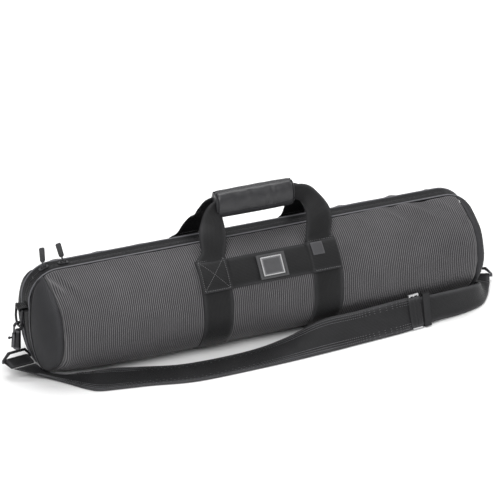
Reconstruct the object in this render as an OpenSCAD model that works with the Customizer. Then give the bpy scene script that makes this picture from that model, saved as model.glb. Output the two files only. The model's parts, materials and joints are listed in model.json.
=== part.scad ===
// Padded tube case for a telescope: fabric shell on foam, twin zip along the top,
// two webbing handles with a shared padded grip, and a clip-on shoulder strap.
// +X runs along the tube, -Y is the front, +Z is up. The origin is on the ground
// below the middle of the case. All sizes are in millimetres.

/* [Case body] */
// Outer radius of the padded tube at its middle
mid_r = 90; // [88:0.5:92]
// Outer radius where the tube meets its end panels
end_r = 83; // [82:0.5:84]
// Distance from the middle to each end panel's seam
seam_x = 359; // [357:1:361]
// How far each end panel bulges past its seam
dome_h = 28; // [27:0.5:29]
// Height of the tube's axis above the ground
axis_z = 86; // [85.5:0.25:87]
// Height of the fold lines about which the two flaps open
split_z = 116; // [115:1:117]
// Thickness of the outer fabric
fabric_t = 1.6; // [1.2:0.1:1.8]
// Thickness of the foam padding
foam_t = 7; // [5:0.5:8]
// Thickness of the lining
lining_t = 1.2; // [0.8:0.1:1.4]

/* [Zip] */
// Sideways roll of the zip from the top, in degrees
zip_roll = 7.5; // [7:0.25:8]
// Half of the width that the zip leaves between the two panels
zip_half_w = 17; // [16.5:0.5:17.5]
// Outer radius of the zip tape along the top
zip_r = 88; // [87.75:0.25:88.25]
// Radius of the zip's bend over each end
zip_bend_r = 50; // [49.5:0.5:50.5]
// Length of each moulded pull tab
pull_len = 23; // [20:1:24]

/* [Webbing] */
// Width of the bands and handles
web_w = 50; // [48:1:50]
// Thickness of the webbing
web_t = 2; // [1.6:0.1:2.2]
// Distance from the middle to each band's centre line
band_x = 95; // [94:1:96]
// Height of the grip's middle above the ground
grip_z = 234; // [233:1:236]
// Length of the padded grip
grip_len = 134; // [128:1:138]
// Depth of the padded grip, front to back
grip_d = 30; // [28:1:31]
// Height of the padded grip
grip_h = 44; // [42:1:45]

/* [Hardware] */
// Distance from the middle to the hanging rings
hang_x = 397; // [396:1:398]
// Height of the left ring's bar
left_ring_z = 115; // [114:1:115]
// Height of the right ring's bar
right_ring_z = 99; // [99:1:100]
// Wire radius of the rings
wire_r = 2; // [1.8:0.1:2.1]

/* [Hidden] */
$fn = 64;
gap = 0.3;
layer_gap = 0.15;
far = 900;
apex_x = seam_x + dome_h;
straight_x = 240;
tape_t = 0.9;
coil_r = 1.2;
coil_gap = 0.5;
coil_w = 3;
tape_in = coil_gap + coil_w;
bend_x = seam_x - 24;
bend_z = zip_r - zip_bend_r;
web_out_r = mid_r + web_t;
badge_angle = 50;
handle_angle = 31;
pivot_r = web_out_r + 4.4;
pivot_y = pivot_r * sin(handle_angle);
pivot_z = axis_z + pivot_r * cos(handle_angle);
slider_x = 319;
web_bar = 16;
left_slider_angle = 18.7;

fabric = "DimGray";
panel = "Gray";
webbing = [0.16, 0.16, 0.17];
metal = "Silver";
dark_metal = [0.2, 0.2, 0.21];
padding = "DarkSlateGray";
cloth = "LightSlateGray";
tape = [0.22, 0.22, 0.23];

// Radius of the tube's outside at distance x from the middle.
function tube_r(x) = x < straight_x
  ? mid_r
  : mid_r - (mid_r - end_r) * pow((x - straight_x) / (seam_x - straight_x), 2);

// Half profile of the case as [radius, x], drawn in by an inset.
function tube_side(inset) = concat(
  [for (x = [straight_x : (seam_x - straight_x) / 4 : seam_x - 1]) [tube_r(x) - inset, x]],
  [for (a = [0 : 15 : 90]) [(end_r - inset) * cos(a), seam_x + (dome_h - inset) * sin(a)]]
);
function flip(points) = [for (i = [len(points) - 1 : -1 : 0]) [points[i][0], -points[i][1]]];

// The closed solid of the case, drawn in by an inset and flat where it rests.
module case_solid(inset) {
  intersection() {
    translate([0, 0, axis_z])
      rotate([0, 90, 0])
        rotate_extrude($fn = 96)
          polygon(concat(tube_side(inset), flip(tube_side(inset))));
    translate([-far, -far, web_t + inset])
      cube([2 * far, 2 * far, far]);
  }
}

module layer(outer, inner) {
  difference() {
    case_solid(outer);
    case_solid(inner);
  }
}

// Space between the two panels along the zip, in the zip's own tilted frame.
module in_zip_frame() {
  translate([0, 0, axis_z])
    rotate([-zip_roll, 0, 0])
      children();
}

module slot_space(half_w) {
  in_zip_frame()
    translate([-far, -half_w, -far])
      cube([2 * far, 2 * half_w, 2 * far]);
}

// Everything in front of the zip and above the fold line; side is -1 for the rear.
module flap_space(side, half_w) {
  intersection() {
    in_zip_frame()
      translate([-far, side > 0 ? -far : half_w, -far])
        cube([2 * far, far - half_w, 2 * far]);
    translate([-far, -far, split_z + gap])
      cube([2 * far, 2 * far, far]);
  }
}

module below_fold() {
  translate([-far, -far, -1])
    cube([2 * far, 2 * far, split_z + 1]);
}

module between_seams() {
  translate([-seam_x, -far, -far])
    cube([2 * seam_x, 2 * far, 2 * far]);
}

module mirrored_x() {
  children();
  mirror([1, 0, 0]) children();
}

// ---- Body of the case, below the fold lines ----

module lower_shell() {
  color(fabric)
    intersection() {
      layer(0, fabric_t);
      below_fold();
      between_seams();
    }
}

module lower_end_panels() {
  color(panel)
    difference() {
      intersection() {
        layer(0, fabric_t);
        below_fold();
      }
      between_seams();
      slot_space(zip_half_w);
    }
}

module lower_end_strips() {
  color(tape)
    difference() {
      intersection() {
        layer(0.2, fabric_t);
        below_fold();
        slot_space(zip_half_w);
      }
      between_seams();
    }
}

module lower_foam() {
  color(padding)
    intersection() {
      layer(fabric_t + layer_gap, fabric_t + foam_t);
      below_fold();
    }
}

module lower_lining() {
  color(cloth)
    intersection() {
      layer(fabric_t + foam_t + layer_gap, fabric_t + foam_t + lining_t);
      below_fold();
    }
}

// One webbing ring about the tube, flat where it rests.
module band_ring() {
  difference() {
    intersection() {
      translate([-web_w / 2, 0, axis_z])
        rotate([0, 90, 0])
          cylinder(r = web_out_r, h = web_w, $fn = 96);
      translate([-far, -far, 0])
        cube([2 * far, 2 * far, far]);
    }
    intersection() {
      translate([-web_w, 0, axis_z])
        rotate([0, 90, 0])
          cylinder(r = mid_r + layer_gap, h = 2 * web_w, $fn = 96);
      translate([-far, -far, web_t])
        cube([2 * far, 2 * far, far]);
    }
  }
}

module lower_bands() {
  color(webbing)
    intersection() {
      for (x = [-band_x, band_x])
        translate([x, 0, 0])
          band_ring();
      below_fold();
    }
}

// Part of a ring about the tube between two angles from the top, towards the front.
module front_sector(from, to) {
  translate([0, 0, axis_z])
    rotate([90, 0, -90])
      translate([0, 0, -far / 2])
        linear_extrude(far)
          polygon([
            [0, 0],
            [2 * far * sin(from), 2 * far * cos(from)],
            [2 * far * sin(to), 2 * far * cos(to)]
          ]);
}

module half_bands(side) {
  intersection() {
    for (x = [-band_x, band_x])
      translate([x, 0, 0])
        band_ring();
    scale([1, side, 1])
      front_sector(handle_angle, 89);
    translate([-far, -far, split_z + gap])
      cube([2 * far, 2 * far, far]);
  }
}

module ring_tab(side, z) {
  difference() {
    union() {
      translate([side > 0 ? apex_x - 6 : -hang_x, -7, z - 2.8])
        cube([hang_x - apex_x + 6, 20, 3.6]);
      translate([side * hang_x, -7, z])
        rotate([-90, 0, 0])
          cylinder(r = 4.6, h = 20);
    }
    translate([side * hang_x, -8, z])
      rotate([-90, 0, 0])
        cylinder(r = wire_r + 0.35, h = 22);
    case_solid(0.2);
  }
}

module ring_tab_left() {
  color(webbing)
    ring_tab(-1, left_ring_z);
}

module ring_tab_right() {
  color(webbing)
    ring_tab(1, right_ring_z);
}

// ---- Flaps ----

module flap_shell(side) {
  intersection() {
    layer(0, fabric_t);
    flap_space(side, zip_half_w);
    between_seams();
  }
}

module flap_end_panels(side) {
  difference() {
    intersection() {
      layer(0, fabric_t);
      flap_space(side, zip_half_w);
    }
    between_seams();
  }
}

module flap_foam(side) {
  intersection() {
    layer(fabric_t + layer_gap, fabric_t + foam_t);
    flap_space(side, zip_half_w + 3);
  }
}

module flap_lining(side) {
  intersection() {
    layer(fabric_t + foam_t + layer_gap, fabric_t + foam_t + lining_t);
    flap_space(side, zip_half_w + 3);
  }
}

// A strip that follows the zip: straight along the top, bent over each end, then
// straight down. Its section spans the given widths and radii.
module zip_run(v0, v1, w0, w1) {
  translate([-bend_x, v0, w0])
    cube([2 * bend_x, v1 - v0, w1 - w0]);
  mirrored_x()
    translate([bend_x, v1, bend_z])
      rotate([90, 0, 0])
        rotate_extrude(angle = 90)
          translate([w0 - bend_z, 0])
            square([w1 - w0, v1 - v0]);
  mirrored_x()
    translate([bend_x + w0 - bend_z, v0, bend_z - 14])
      cube([w1 - w0, v1 - v0, 14]);
}

module above_fold() {
  translate([-far, -far, split_z + gap])
    cube([2 * far, 2 * far, far]);
}

module zip_tape(side) {
  intersection() {
    in_zip_frame()
      scale([1, -side, 1])
        zip_run(tape_in, zip_half_w, zip_r - tape_t, zip_r);
    above_fold();
  }
}

module zip_coil(side) {
  intersection() {
    in_zip_frame()
      scale([1, -side, 1])
        zip_run(coil_gap, tape_in, zip_r - tape_t / 2 - coil_r, zip_r - tape_t / 2 + coil_r);
    above_fold();
  }
}

module front_shell() {
  color(fabric) flap_shell(1);
}

module rear_shell() {
  color(fabric) flap_shell(-1);
}

module front_end_panels() {
  color(panel) flap_end_panels(1);
}

module rear_end_panels() {
  color(panel) flap_end_panels(-1);
}

module front_foam() {
  color(padding) flap_foam(1);
}

module rear_foam() {
  color(padding) flap_foam(-1);
}

module front_lining() {
  color(cloth) flap_lining(1);
}

module rear_lining() {
  color(cloth) flap_lining(-1);
}

module front_tape() {
  color(tape) zip_tape(1);
}

module rear_tape() {
  color(tape) zip_tape(-1);
}

module front_coil() {
  color(dark_metal) zip_coil(1);
}

module rear_coil() {
  color(dark_metal) zip_coil(-1);
}

module front_bands() {
  color(webbing) half_bands(1);
}

module rear_bands() {
  color(webbing) half_bands(-1);
}

// Webbing that joins the two front bands and carries the badge.
module cross_strap() {
  color(webbing)
    intersection() {
      translate([-(band_x - web_w / 2), 0, axis_z])
        rotate([0, 90, 0])
          difference() {
            cylinder(r = web_out_r, h = 2 * band_x - web_w, $fn = 96);
            translate([0, 0, -1])
              cylinder(r = mid_r + layer_gap, h = far, $fn = 96);
          }
      front_sector(handle_angle + 2, 66);
      above_fold();
    }
}

module on_badge() {
  translate([4, 0, axis_z])
    rotate([badge_angle, 0, 0])
      translate([0, 0, web_out_r - 0.9])
        children();
}

module badge_plate() {
  color(dark_metal)
    difference() {
      on_badge()
        translate([-24, -20, 0])
          cube([48, 40, 3.2]);
      on_badge()
        badge_rim(0.02, 2);
      translate([-far / 2, 0, axis_z])
        rotate([0, 90, 0])
          cylinder(r = web_out_r, h = far, $fn = 480);
    }
}

module badge_rim(grow, low) {
  translate([0, 0, low])
    linear_extrude(1.6)
      difference() {
        square([36 + 2 * grow, 31 + 2 * grow], center = true);
        square([32 - 2 * grow, 27 - 2 * grow], center = true);
      }
}

module badge_frame() {
  color(metal)
    on_badge()
      badge_rim(0, 2.02);
}

module size_patch() {
  color(panel)
    translate([band_x - 10, 0, axis_z])
      rotate([42, 0, 0])
        translate([0, 0, web_out_r - 0.4])
          difference() {
            translate([-10, -11, 0])
              cube([20, 22, 1.3]);
            translate([-far / 2, 0, -web_out_r + 0.4])
              rotate([0, 90, 0])
                cylinder(r = web_out_r, h = far, $fn = 480);
          }
}

// ---- Zip sliders and their pull tabs ----

pin_w = 5.4;
arch_w = 6.8;

// Two plates joined by a web between the coils, with an arch that holds the pull's pin.
module slider_body() {
  outline = [[-8, -3.5], [-5, -5.5], [5, -5.5], [8, -3.5], [8, 3.5], [5, 5.5], [-5, 5.5],
    [-8, 3.5]];
  color(dark_metal) {
    for (w = [-3.6, 2])
      translate([0, 0, w])
        linear_extrude(1.6)
          polygon(outline);
    translate([-1.5, -0.25, -2.5])
      cube([3, 0.5, 5]);
    for (x = [-4.5, 3.1])
      translate([x, -1.5, 3])
        cube([1.4, 3, arch_w - 2.5]);
    translate([-4.5, -1.5, arch_w])
      cube([9, 3, 1.2]);
  }
}

// A pin under the slider's arch, two cheeks, a bridge and the moulded tab, leaning by an
// angle. The tab's broad face is to the front.
module pull_body(lean) {
  color(webbing)
    translate([0, 0, pin_w])
      rotate([0, lean, 0]) {
        translate([0, -4, 0])
          rotate([-90, 0, 0])
            cylinder(r = 1, h = 8, $fn = 32);
        for (y = [-4, 2])
          translate([-1.2, y, -1.2])
            cube([2.4, 2, 8.2]);
        translate([-2, -4, 6.5])
          cube([4, 8, 2.4]);
        translate([-4.5, -1.6, 8.5])
          cube([9, 3.2, pull_len]);
      }
}

module at_right_slider() {
  in_zip_frame()
    translate([-slider_x, 0, zip_r - tape_t / 2])
      children();
}

module at_left_slider() {
  in_zip_frame()
    translate([-bend_x, 0, bend_z])
      rotate([0, -left_slider_angle, 0])
        translate([0, 0, zip_bend_r - tape_t / 2])
          children();
}

module right_slider() {
  at_right_slider() slider_body();
}

module right_pull() {
  at_right_slider() pull_body(-12);
}

module left_slider() {
  at_left_slider() slider_body();
}

module left_pull() {
  at_left_slider() pull_body(left_slider_angle);
}

// ---- Handles ----

// Side view of one webbing handle, from its stitch line up into the grip.
module handle_side() {
  low = [pivot_y - 1.2, pivot_z];
  knee = [24, grip_z - grip_h / 2 - 3];
  inside = [6, grip_z - web_bar];
  top = [6, grip_z + web_bar];
  polygon([
    low,
    knee,
    inside,
    top,
    top + [web_t + 0.4, 0],
    inside + [web_t + 0.4, 0],
    knee + [web_t + 0.6, 1.4],
    low + [web_t + 0.6, 1.2]
  ]);
}

// Front view of one webbing handle: two legs that turn in to meet along the grip.
module handle_front() {
  leg_in = band_x - web_w / 2;
  leg_out = band_x + web_w / 2;
  low = pivot_z - 3;
  bar_low = grip_z - web_bar;
  bar_high = grip_z + web_bar;
  side = [
    [leg_in + 4, bar_low],
    [leg_in + 9, bar_low - 8],
    [leg_in + 6, low + 26],
    [leg_in, low],
    [leg_out, low],
    [leg_out - 0.5, low + 28],
    [leg_out - 4, low + 50],
    [leg_out - 14, low + 68],
    [leg_out - 28, low + 80],
    [leg_out - 44, bar_high]
  ];
  polygon(concat(side, [for (i = [len(side) - 1 : -1 : 0]) [-side[i][0], side[i][1]]]));
}

module handle_web() {
  intersection() {
    translate([-far / 2, 0, 0])
      rotate([90, 0, 90])
        linear_extrude(far)
          scale([-1, 1])
            handle_side();
    translate([0, far / 2, 0])
      rotate([90, 0, 0])
        linear_extrude(far)
          handle_front();
  }
}

// Half of the grip's oval section, cut off short of the meeting plane.
module grip_half() {
  section = [for (a = [0 : 15 : 180])
    [max(2.2, grip_d / 2 * pow(sin(a), 0.7)), grip_h / 2 * cos(a)]];
  difference() {
    translate([-grip_len / 2, 0, grip_z])
      rotate([90, 0, 90])
        linear_extrude(grip_len)
          scale([-1, 1])
            polygon(section);
    translate([-far / 2, -(6 + web_t + 0.5), grip_z - web_bar - 0.1])
      cube([far, web_t + 0.6, 2 * web_bar + 0.2]);
    translate([-grip_len / 2 + 10, -2.9, grip_z - 15])
      cube([grip_len - 20, 3, 20]);
  }
}

module fastener_strip() {
  translate([-grip_len / 2 + 12, -2.9, grip_z - 13])
    cube([grip_len - 24, 2.5, 16]);
}

module front_handle_web() {
  color(webbing) handle_web();
}

module rear_handle_web() {
  color(webbing) mirror([0, 1, 0]) handle_web();
}

module front_grip() {
  color(padding) grip_half();
}

module rear_grip() {
  color(padding) mirror([0, 1, 0]) grip_half();
}

module hook_strip() {
  color(cloth) fastener_strip();
}

module loop_strip() {
  color(cloth) mirror([0, 1, 0]) fastener_strip();
}

// ---- Rings, clips and swivels ----

ring_half_w = 14;
ring_drop = 17;
eye_r = 6.6;
hook_wire = 2.4;
knuckle_z = -ring_drop - ring_half_w;
eye_z = knuckle_z + wire_r + 0.35 - (eye_r - hook_wire);
shank_low = eye_z - 39;
bar_z = shank_low - 20;
bar_half = web_w / 2;
hang_lean = 5;
left_turn = 15;
right_turn = -25;

// A ring that hangs from its bar; the bar's middle is at the local origin.
module d_ring() {
  translate([0, -ring_half_w, 0])
    rotate([-90, 0, 0])
      cylinder(r = wire_r, h = 2 * ring_half_w);
  for (y = [-ring_half_w, ring_half_w]) {
    translate([0, y, 0])
      sphere(r = wire_r, $fn = 32);
    translate([0, y, -ring_drop])
      cylinder(r = wire_r, h = ring_drop);
  }
  translate([0, 0, -ring_drop])
    rotate([-90, 0, 90])
      rotate_extrude(angle = 180)
        translate([ring_half_w, 0])
          circle(r = wire_r);
}

barrel_x = 6.8;
bolt_r = 1.6;

// Snap hook: an open eye over the ring, a shank with a swivel socket, a bolt's barrel.
module clip_hook(side) {
  translate([0, 0, eye_z])
    scale([-side, 1, 1])
      rotate([90, 0, 0])
        rotate([0, 0, -90])
          rotate_extrude(angle = 265)
            translate([eye_r, 0])
              circle(r = hook_wire);
  difference() {
    union() {
      translate([0, 0, shank_low])
        cylinder(r1 = 6.2, r2 = 4.6, h = 32.8);
      translate([side * barrel_x, 0, shank_low + 3])
        cylinder(r = 3.1, h = 24);
    }
    translate([0, 0, shank_low + 3])
      cylinder(r = 3.9, h = 7);
    translate([0, 0, shank_low - 1])
      cylinder(r = wire_r + 0.35, h = 6);
    translate([side * barrel_x, 0, shank_low + 4])
      cylinder(r = bolt_r + 0.3, h = 30);
    translate([side > 0 ? barrel_x : -barrel_x - 8, -1.9, shank_low + 9.5])
      cube([8, 3.8, 13]);
  }
}

// Bolt that closes the eye; its thumb knob stands out of the barrel.
module clip_gate(side) {
  translate([side * barrel_x, 0, shank_low + 13])
    cylinder(r = bolt_r, h = eye_z - shank_low - 13.2);
  translate([side * barrel_x, 0, shank_low + 20])
    rotate([0, side * 90, 0])
      cylinder(r = 1.4, h = 6);
  translate([side * (barrel_x + 7), 0, shank_low + 20])
    sphere(r = 2.4, $fn = 32);
}

// Swivel: a headed pin in the clip's socket and a flat frame for the strap's webbing.
module strap_ring() {
  wide = 1.6 * wire_r;
  translate([0, 0, shank_low + 3.4])
    cylinder(r = 3.5, h = 6.2);
  translate([0, 0, shank_low - 5])
    cylinder(r = wire_r, h = 9);
  translate([0, wide / 2, 0])
    rotate([90, 0, 0])
      linear_extrude(wide)
        difference() {
          frame_outline(wide / 2);
          frame_outline(-wide / 2);
        }
}

module frame_outline(grow) {
  half = bar_half + grow;
  polygon([
    [-half, bar_z - grow],
    [half, bar_z - grow],
    [half, bar_z + 3],
    [15 + grow, shank_low - 6 + grow],
    [-15 - grow, shank_low - 6 + grow],
    [-half, bar_z + 3]
  ]);
}

// Webbing sewn round the swivel's bar.
module strap_fold() {
  half = bar_half - 3.5;
  difference() {
    union() {
      translate([-half, 0, bar_z])
        rotate([0, 90, 0])
          cylinder(r = wire_r + 0.3 + web_t, h = 2 * half);
      translate([-half, -15, bar_z - wire_r - 0.3 - web_t])
        cube([2 * half, 15, 2 * web_t]);
    }
    translate([-half - 1, 0, bar_z])
      rotate([0, 90, 0])
        cylinder(r = wire_r + 0.3, h = 2 * half + 2);
  }
}

module at_left_ring() {
  translate([-hang_x, 3, left_ring_z])
    rotate([0, hang_lean, 0])
      children();
}

module at_right_ring() {
  translate([hang_x, 3, right_ring_z])
    rotate([0, -hang_lean, 0])
      children();
}

module left_d_ring() {
  color(dark_metal) at_left_ring() d_ring();
}

module left_hook() {
  color(dark_metal) at_left_ring() clip_hook(-1);
}

module left_gate() {
  color(metal) at_left_ring() clip_gate(-1);
}

module left_swivel() {
  color(dark_metal) at_left_ring() rotate([0, 0, left_turn]) strap_ring();
}

module left_fold() {
  color(webbing) at_left_ring() rotate([0, 0, left_turn]) strap_fold();
}

module right_d_ring() {
  color(dark_metal) at_right_ring() d_ring();
}

module right_hook() {
  color(dark_metal) at_right_ring() clip_hook(1);
}

module right_gate() {
  color(metal) at_right_ring() clip_gate(1);
}

module right_swivel() {
  color(dark_metal) at_right_ring() rotate([0, 0, right_turn]) strap_ring();
}

module right_fold() {
  color(webbing) at_right_ring() rotate([0, 0, right_turn]) strap_fold();
}

// ---- Shoulder strap: two edge lines, lower then upper, give its route ----

strap_low = [
  [-419, -25, 22], [-398, -31, 14], [-370, -42, 5], [-344, -66, 1], [-322, -92, 0.5],
  [-304, -106, 0.5], [-268, -113, 0.5], [-222, -121, 0.5], [-149, -136, 0.5],
  [-44, -136, 0.5], [30, -133, 0.5], [85, -129, 0.5], [140, -124, 0.5], [208, -118, 0.5],
  [232, -114, 0.5]
];
strap_high = [
  [-379, -15, 18], [-366, -30, 9], [-338, -48, 7], [-318, -56, 10], [-300, -62, 12],
  [-282, -66, 14], [-262, -66, 12], [-222, -68, 6], [-149, -82, 3],
  [-44, -82, 3], [24, -82, 14], [82, -92, 40], [140, -99, 47], [208, -96, 50],
  [232, -96, 51]
];
adjuster_low = [
  [252, -111, 3], [285, -105, 3], [330, -97, 1], [370, -84, 1], [393, -62, 1], [411, -34, 2]
];
adjuster_high = [
  [252, -98, 49], [285, -99, 50], [330, -97, 50], [366, -84, 44], [382, -52, 24],
  [383, -16, 3]
];

// A flat ribbon between two edge lines.
module ribbon(low, high, t) {
  n = len(low);
  last = n - 1;
  along = [for (i = [0 : last]) low[min(i + 1, last)] - low[max(i - 1, 0)]];
  out = [for (i = [0 : last]) let (c = cross(along[i], high[i] - low[i])) c / norm(c) * t / 2];
  points = [for (i = [0 : last])
    each [low[i] - out[i], high[i] - out[i], high[i] + out[i], low[i] + out[i]]];
  sides = [for (i = [0 : last - 1]) for (k = [0 : 3]) let (a = 4 * i + k, b = 4 * i + (k + 1) % 4)
    each [[a, b, b + 4], [a, b + 4, a + 4]]];
  polyhedron(concat(points), concat([[3, 2, 1, 0]], sides,
    [[4 * last, 4 * last + 1, 4 * last + 2, 4 * last + 3]]));
}

function shifted(points, by) = [for (p = points) p + by];

module strap_web() {
  color(webbing)
    ribbon(shifted(strap_low, [0, 0, 1.2]), shifted(strap_high, [0, 0, 1.2]), web_t + 1);
}

module adjuster_web() {
  color(webbing)
    ribbon(shifted(adjuster_low, [0, 0, 1.2]), shifted(adjuster_high, [0, 0, 1.2]), web_t);
}

module on_adjuster() {
  translate([242, -105, 29.5])
    rotate([-18, 0, 7])
      children();
}

module tri_glide() {
  color(metal)
    on_adjuster()
      difference() {
        translate([-9, -1.6, -29])
          cube([18, 3.2, 58]);
        for (x = [-6.5, 1.5])
          translate([x, -3, -26])
            cube([5, 6, 52]);
      }
}

// Loop that holds the webbing's free end flat.
module strap_keeper() {
  color(webbing)
    translate([262, -103.5, 29])
      rotate([-12.5, 0, 4.5])
        difference() {
          translate([-6, -4, -28])
            cube([12, 8, 56]);
          translate([-7, -2.4, -26.4])
            cube([14, 4.8, 52.8]);
        }
}

lower_shell();
lower_end_panels();
lower_end_strips();
lower_foam();
lower_lining();
lower_bands();
ring_tab_left();
ring_tab_right();
front_shell();
front_end_panels();
front_foam();
front_lining();
front_tape();
front_coil();
front_bands();
cross_strap();
badge_plate();
badge_frame();
size_patch();
rear_shell();
rear_end_panels();
rear_foam();
rear_lining();
rear_tape();
rear_coil();
rear_bands();
front_handle_web();
front_grip();
hook_strip();
rear_handle_web();
rear_grip();
loop_strip();
right_slider();
right_pull();
left_slider();
left_pull();
left_d_ring();
left_hook();
left_gate();
left_swivel();
left_fold();
right_d_ring();
right_hook();
right_gate();
right_swivel();
right_fold();
strap_web();
adjuster_web();
tri_glide();
strap_keeper();
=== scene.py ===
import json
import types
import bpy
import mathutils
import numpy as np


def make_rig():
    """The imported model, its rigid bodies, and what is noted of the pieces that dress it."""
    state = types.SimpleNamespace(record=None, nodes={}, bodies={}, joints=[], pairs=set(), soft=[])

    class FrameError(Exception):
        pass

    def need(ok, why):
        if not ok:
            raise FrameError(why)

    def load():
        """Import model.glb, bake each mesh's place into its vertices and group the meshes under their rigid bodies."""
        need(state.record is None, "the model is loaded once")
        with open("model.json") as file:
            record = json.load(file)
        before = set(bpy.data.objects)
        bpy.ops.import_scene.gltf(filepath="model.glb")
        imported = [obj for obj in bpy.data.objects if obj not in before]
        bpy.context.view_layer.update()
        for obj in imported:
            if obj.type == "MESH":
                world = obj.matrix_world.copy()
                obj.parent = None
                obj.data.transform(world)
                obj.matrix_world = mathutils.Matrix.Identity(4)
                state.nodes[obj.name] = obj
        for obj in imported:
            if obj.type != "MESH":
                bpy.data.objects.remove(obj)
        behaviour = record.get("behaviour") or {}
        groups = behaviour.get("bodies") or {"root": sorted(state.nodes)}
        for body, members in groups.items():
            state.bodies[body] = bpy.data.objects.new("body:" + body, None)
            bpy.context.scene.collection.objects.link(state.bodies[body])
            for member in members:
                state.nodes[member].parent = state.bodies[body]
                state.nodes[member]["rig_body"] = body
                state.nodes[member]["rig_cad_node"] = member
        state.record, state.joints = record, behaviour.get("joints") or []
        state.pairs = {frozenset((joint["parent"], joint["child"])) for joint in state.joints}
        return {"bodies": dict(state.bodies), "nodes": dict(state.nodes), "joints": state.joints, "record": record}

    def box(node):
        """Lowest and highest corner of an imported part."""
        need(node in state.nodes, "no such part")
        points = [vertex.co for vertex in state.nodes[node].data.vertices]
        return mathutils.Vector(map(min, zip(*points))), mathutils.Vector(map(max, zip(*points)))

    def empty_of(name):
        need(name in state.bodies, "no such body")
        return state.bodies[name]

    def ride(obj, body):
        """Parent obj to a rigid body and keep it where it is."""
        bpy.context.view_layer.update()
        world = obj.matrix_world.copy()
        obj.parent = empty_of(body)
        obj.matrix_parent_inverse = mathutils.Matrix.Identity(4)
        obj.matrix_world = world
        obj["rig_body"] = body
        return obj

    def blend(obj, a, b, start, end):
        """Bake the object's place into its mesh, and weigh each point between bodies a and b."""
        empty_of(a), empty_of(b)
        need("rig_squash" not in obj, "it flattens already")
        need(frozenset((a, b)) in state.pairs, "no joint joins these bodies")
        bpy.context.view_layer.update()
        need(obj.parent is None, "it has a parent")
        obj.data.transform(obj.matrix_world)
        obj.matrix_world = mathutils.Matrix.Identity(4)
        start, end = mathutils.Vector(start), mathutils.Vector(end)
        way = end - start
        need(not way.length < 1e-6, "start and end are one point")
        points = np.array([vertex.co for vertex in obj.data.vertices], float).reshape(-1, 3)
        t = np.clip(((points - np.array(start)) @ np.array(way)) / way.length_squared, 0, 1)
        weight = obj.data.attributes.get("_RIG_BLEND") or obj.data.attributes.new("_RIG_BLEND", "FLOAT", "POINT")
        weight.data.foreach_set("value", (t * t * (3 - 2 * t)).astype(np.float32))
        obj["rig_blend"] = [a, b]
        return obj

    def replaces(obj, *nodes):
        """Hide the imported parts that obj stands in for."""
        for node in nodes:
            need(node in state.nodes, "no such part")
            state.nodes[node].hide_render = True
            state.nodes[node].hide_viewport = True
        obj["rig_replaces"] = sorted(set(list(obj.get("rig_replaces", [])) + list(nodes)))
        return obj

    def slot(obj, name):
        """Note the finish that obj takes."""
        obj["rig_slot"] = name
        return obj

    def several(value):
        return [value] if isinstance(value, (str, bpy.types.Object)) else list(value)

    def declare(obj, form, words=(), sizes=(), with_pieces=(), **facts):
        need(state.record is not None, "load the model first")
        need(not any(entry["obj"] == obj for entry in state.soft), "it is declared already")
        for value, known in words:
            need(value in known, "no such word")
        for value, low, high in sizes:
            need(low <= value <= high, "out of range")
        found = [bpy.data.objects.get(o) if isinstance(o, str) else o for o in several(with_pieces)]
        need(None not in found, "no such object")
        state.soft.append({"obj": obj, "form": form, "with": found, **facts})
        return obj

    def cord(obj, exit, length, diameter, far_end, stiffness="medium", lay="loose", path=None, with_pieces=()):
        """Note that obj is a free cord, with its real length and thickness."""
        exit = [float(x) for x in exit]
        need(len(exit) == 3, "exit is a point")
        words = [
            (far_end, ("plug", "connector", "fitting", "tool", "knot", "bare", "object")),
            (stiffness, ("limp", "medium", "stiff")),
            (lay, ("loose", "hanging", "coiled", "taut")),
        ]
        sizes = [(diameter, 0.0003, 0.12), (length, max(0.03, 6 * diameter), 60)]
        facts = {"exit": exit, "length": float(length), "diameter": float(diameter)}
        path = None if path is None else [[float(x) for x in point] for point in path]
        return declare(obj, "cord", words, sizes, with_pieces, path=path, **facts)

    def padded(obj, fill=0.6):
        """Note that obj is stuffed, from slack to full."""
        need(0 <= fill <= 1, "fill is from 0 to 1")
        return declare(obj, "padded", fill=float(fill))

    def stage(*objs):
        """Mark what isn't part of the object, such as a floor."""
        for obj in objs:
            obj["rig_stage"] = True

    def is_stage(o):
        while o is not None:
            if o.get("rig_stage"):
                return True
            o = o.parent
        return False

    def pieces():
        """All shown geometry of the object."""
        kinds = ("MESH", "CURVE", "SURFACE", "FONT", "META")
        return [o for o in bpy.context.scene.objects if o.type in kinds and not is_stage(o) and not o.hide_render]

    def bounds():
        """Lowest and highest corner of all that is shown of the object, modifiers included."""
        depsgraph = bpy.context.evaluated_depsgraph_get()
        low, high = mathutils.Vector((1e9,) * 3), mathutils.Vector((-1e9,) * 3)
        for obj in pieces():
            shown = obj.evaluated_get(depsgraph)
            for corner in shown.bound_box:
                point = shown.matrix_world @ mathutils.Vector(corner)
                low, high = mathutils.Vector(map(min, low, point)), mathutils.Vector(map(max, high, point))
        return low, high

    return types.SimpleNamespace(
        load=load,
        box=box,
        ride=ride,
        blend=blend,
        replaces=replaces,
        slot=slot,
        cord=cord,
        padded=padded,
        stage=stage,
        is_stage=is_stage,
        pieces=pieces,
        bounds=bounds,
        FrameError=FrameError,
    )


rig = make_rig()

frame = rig.load()
CAD_BOX = [list(corner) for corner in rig.bounds()]

import json
import math

import bpy
import numpy as np
from mathutils import Matrix, Vector, noise
from bpy.props import FloatProperty, FloatVectorProperty, PointerProperty

bl_info = {
    "name": "Telescope carry case",
    "version": (1, 0, 0),
    "blender": (4, 5, 0),
    "location": "View3D > Sidebar > Carry case",
    "description": "Builds the soft goods, fittings and stage of a padded tube case for a telescope",
    "category": "Object",
}

MM = 0.001
FRONT = 1
REAR = -1
LEFT = -1
RIGHT = 1
SHELL_LOW, SHELL_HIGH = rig.box("lower_shell")


# ---- Values a user may change ----

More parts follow.
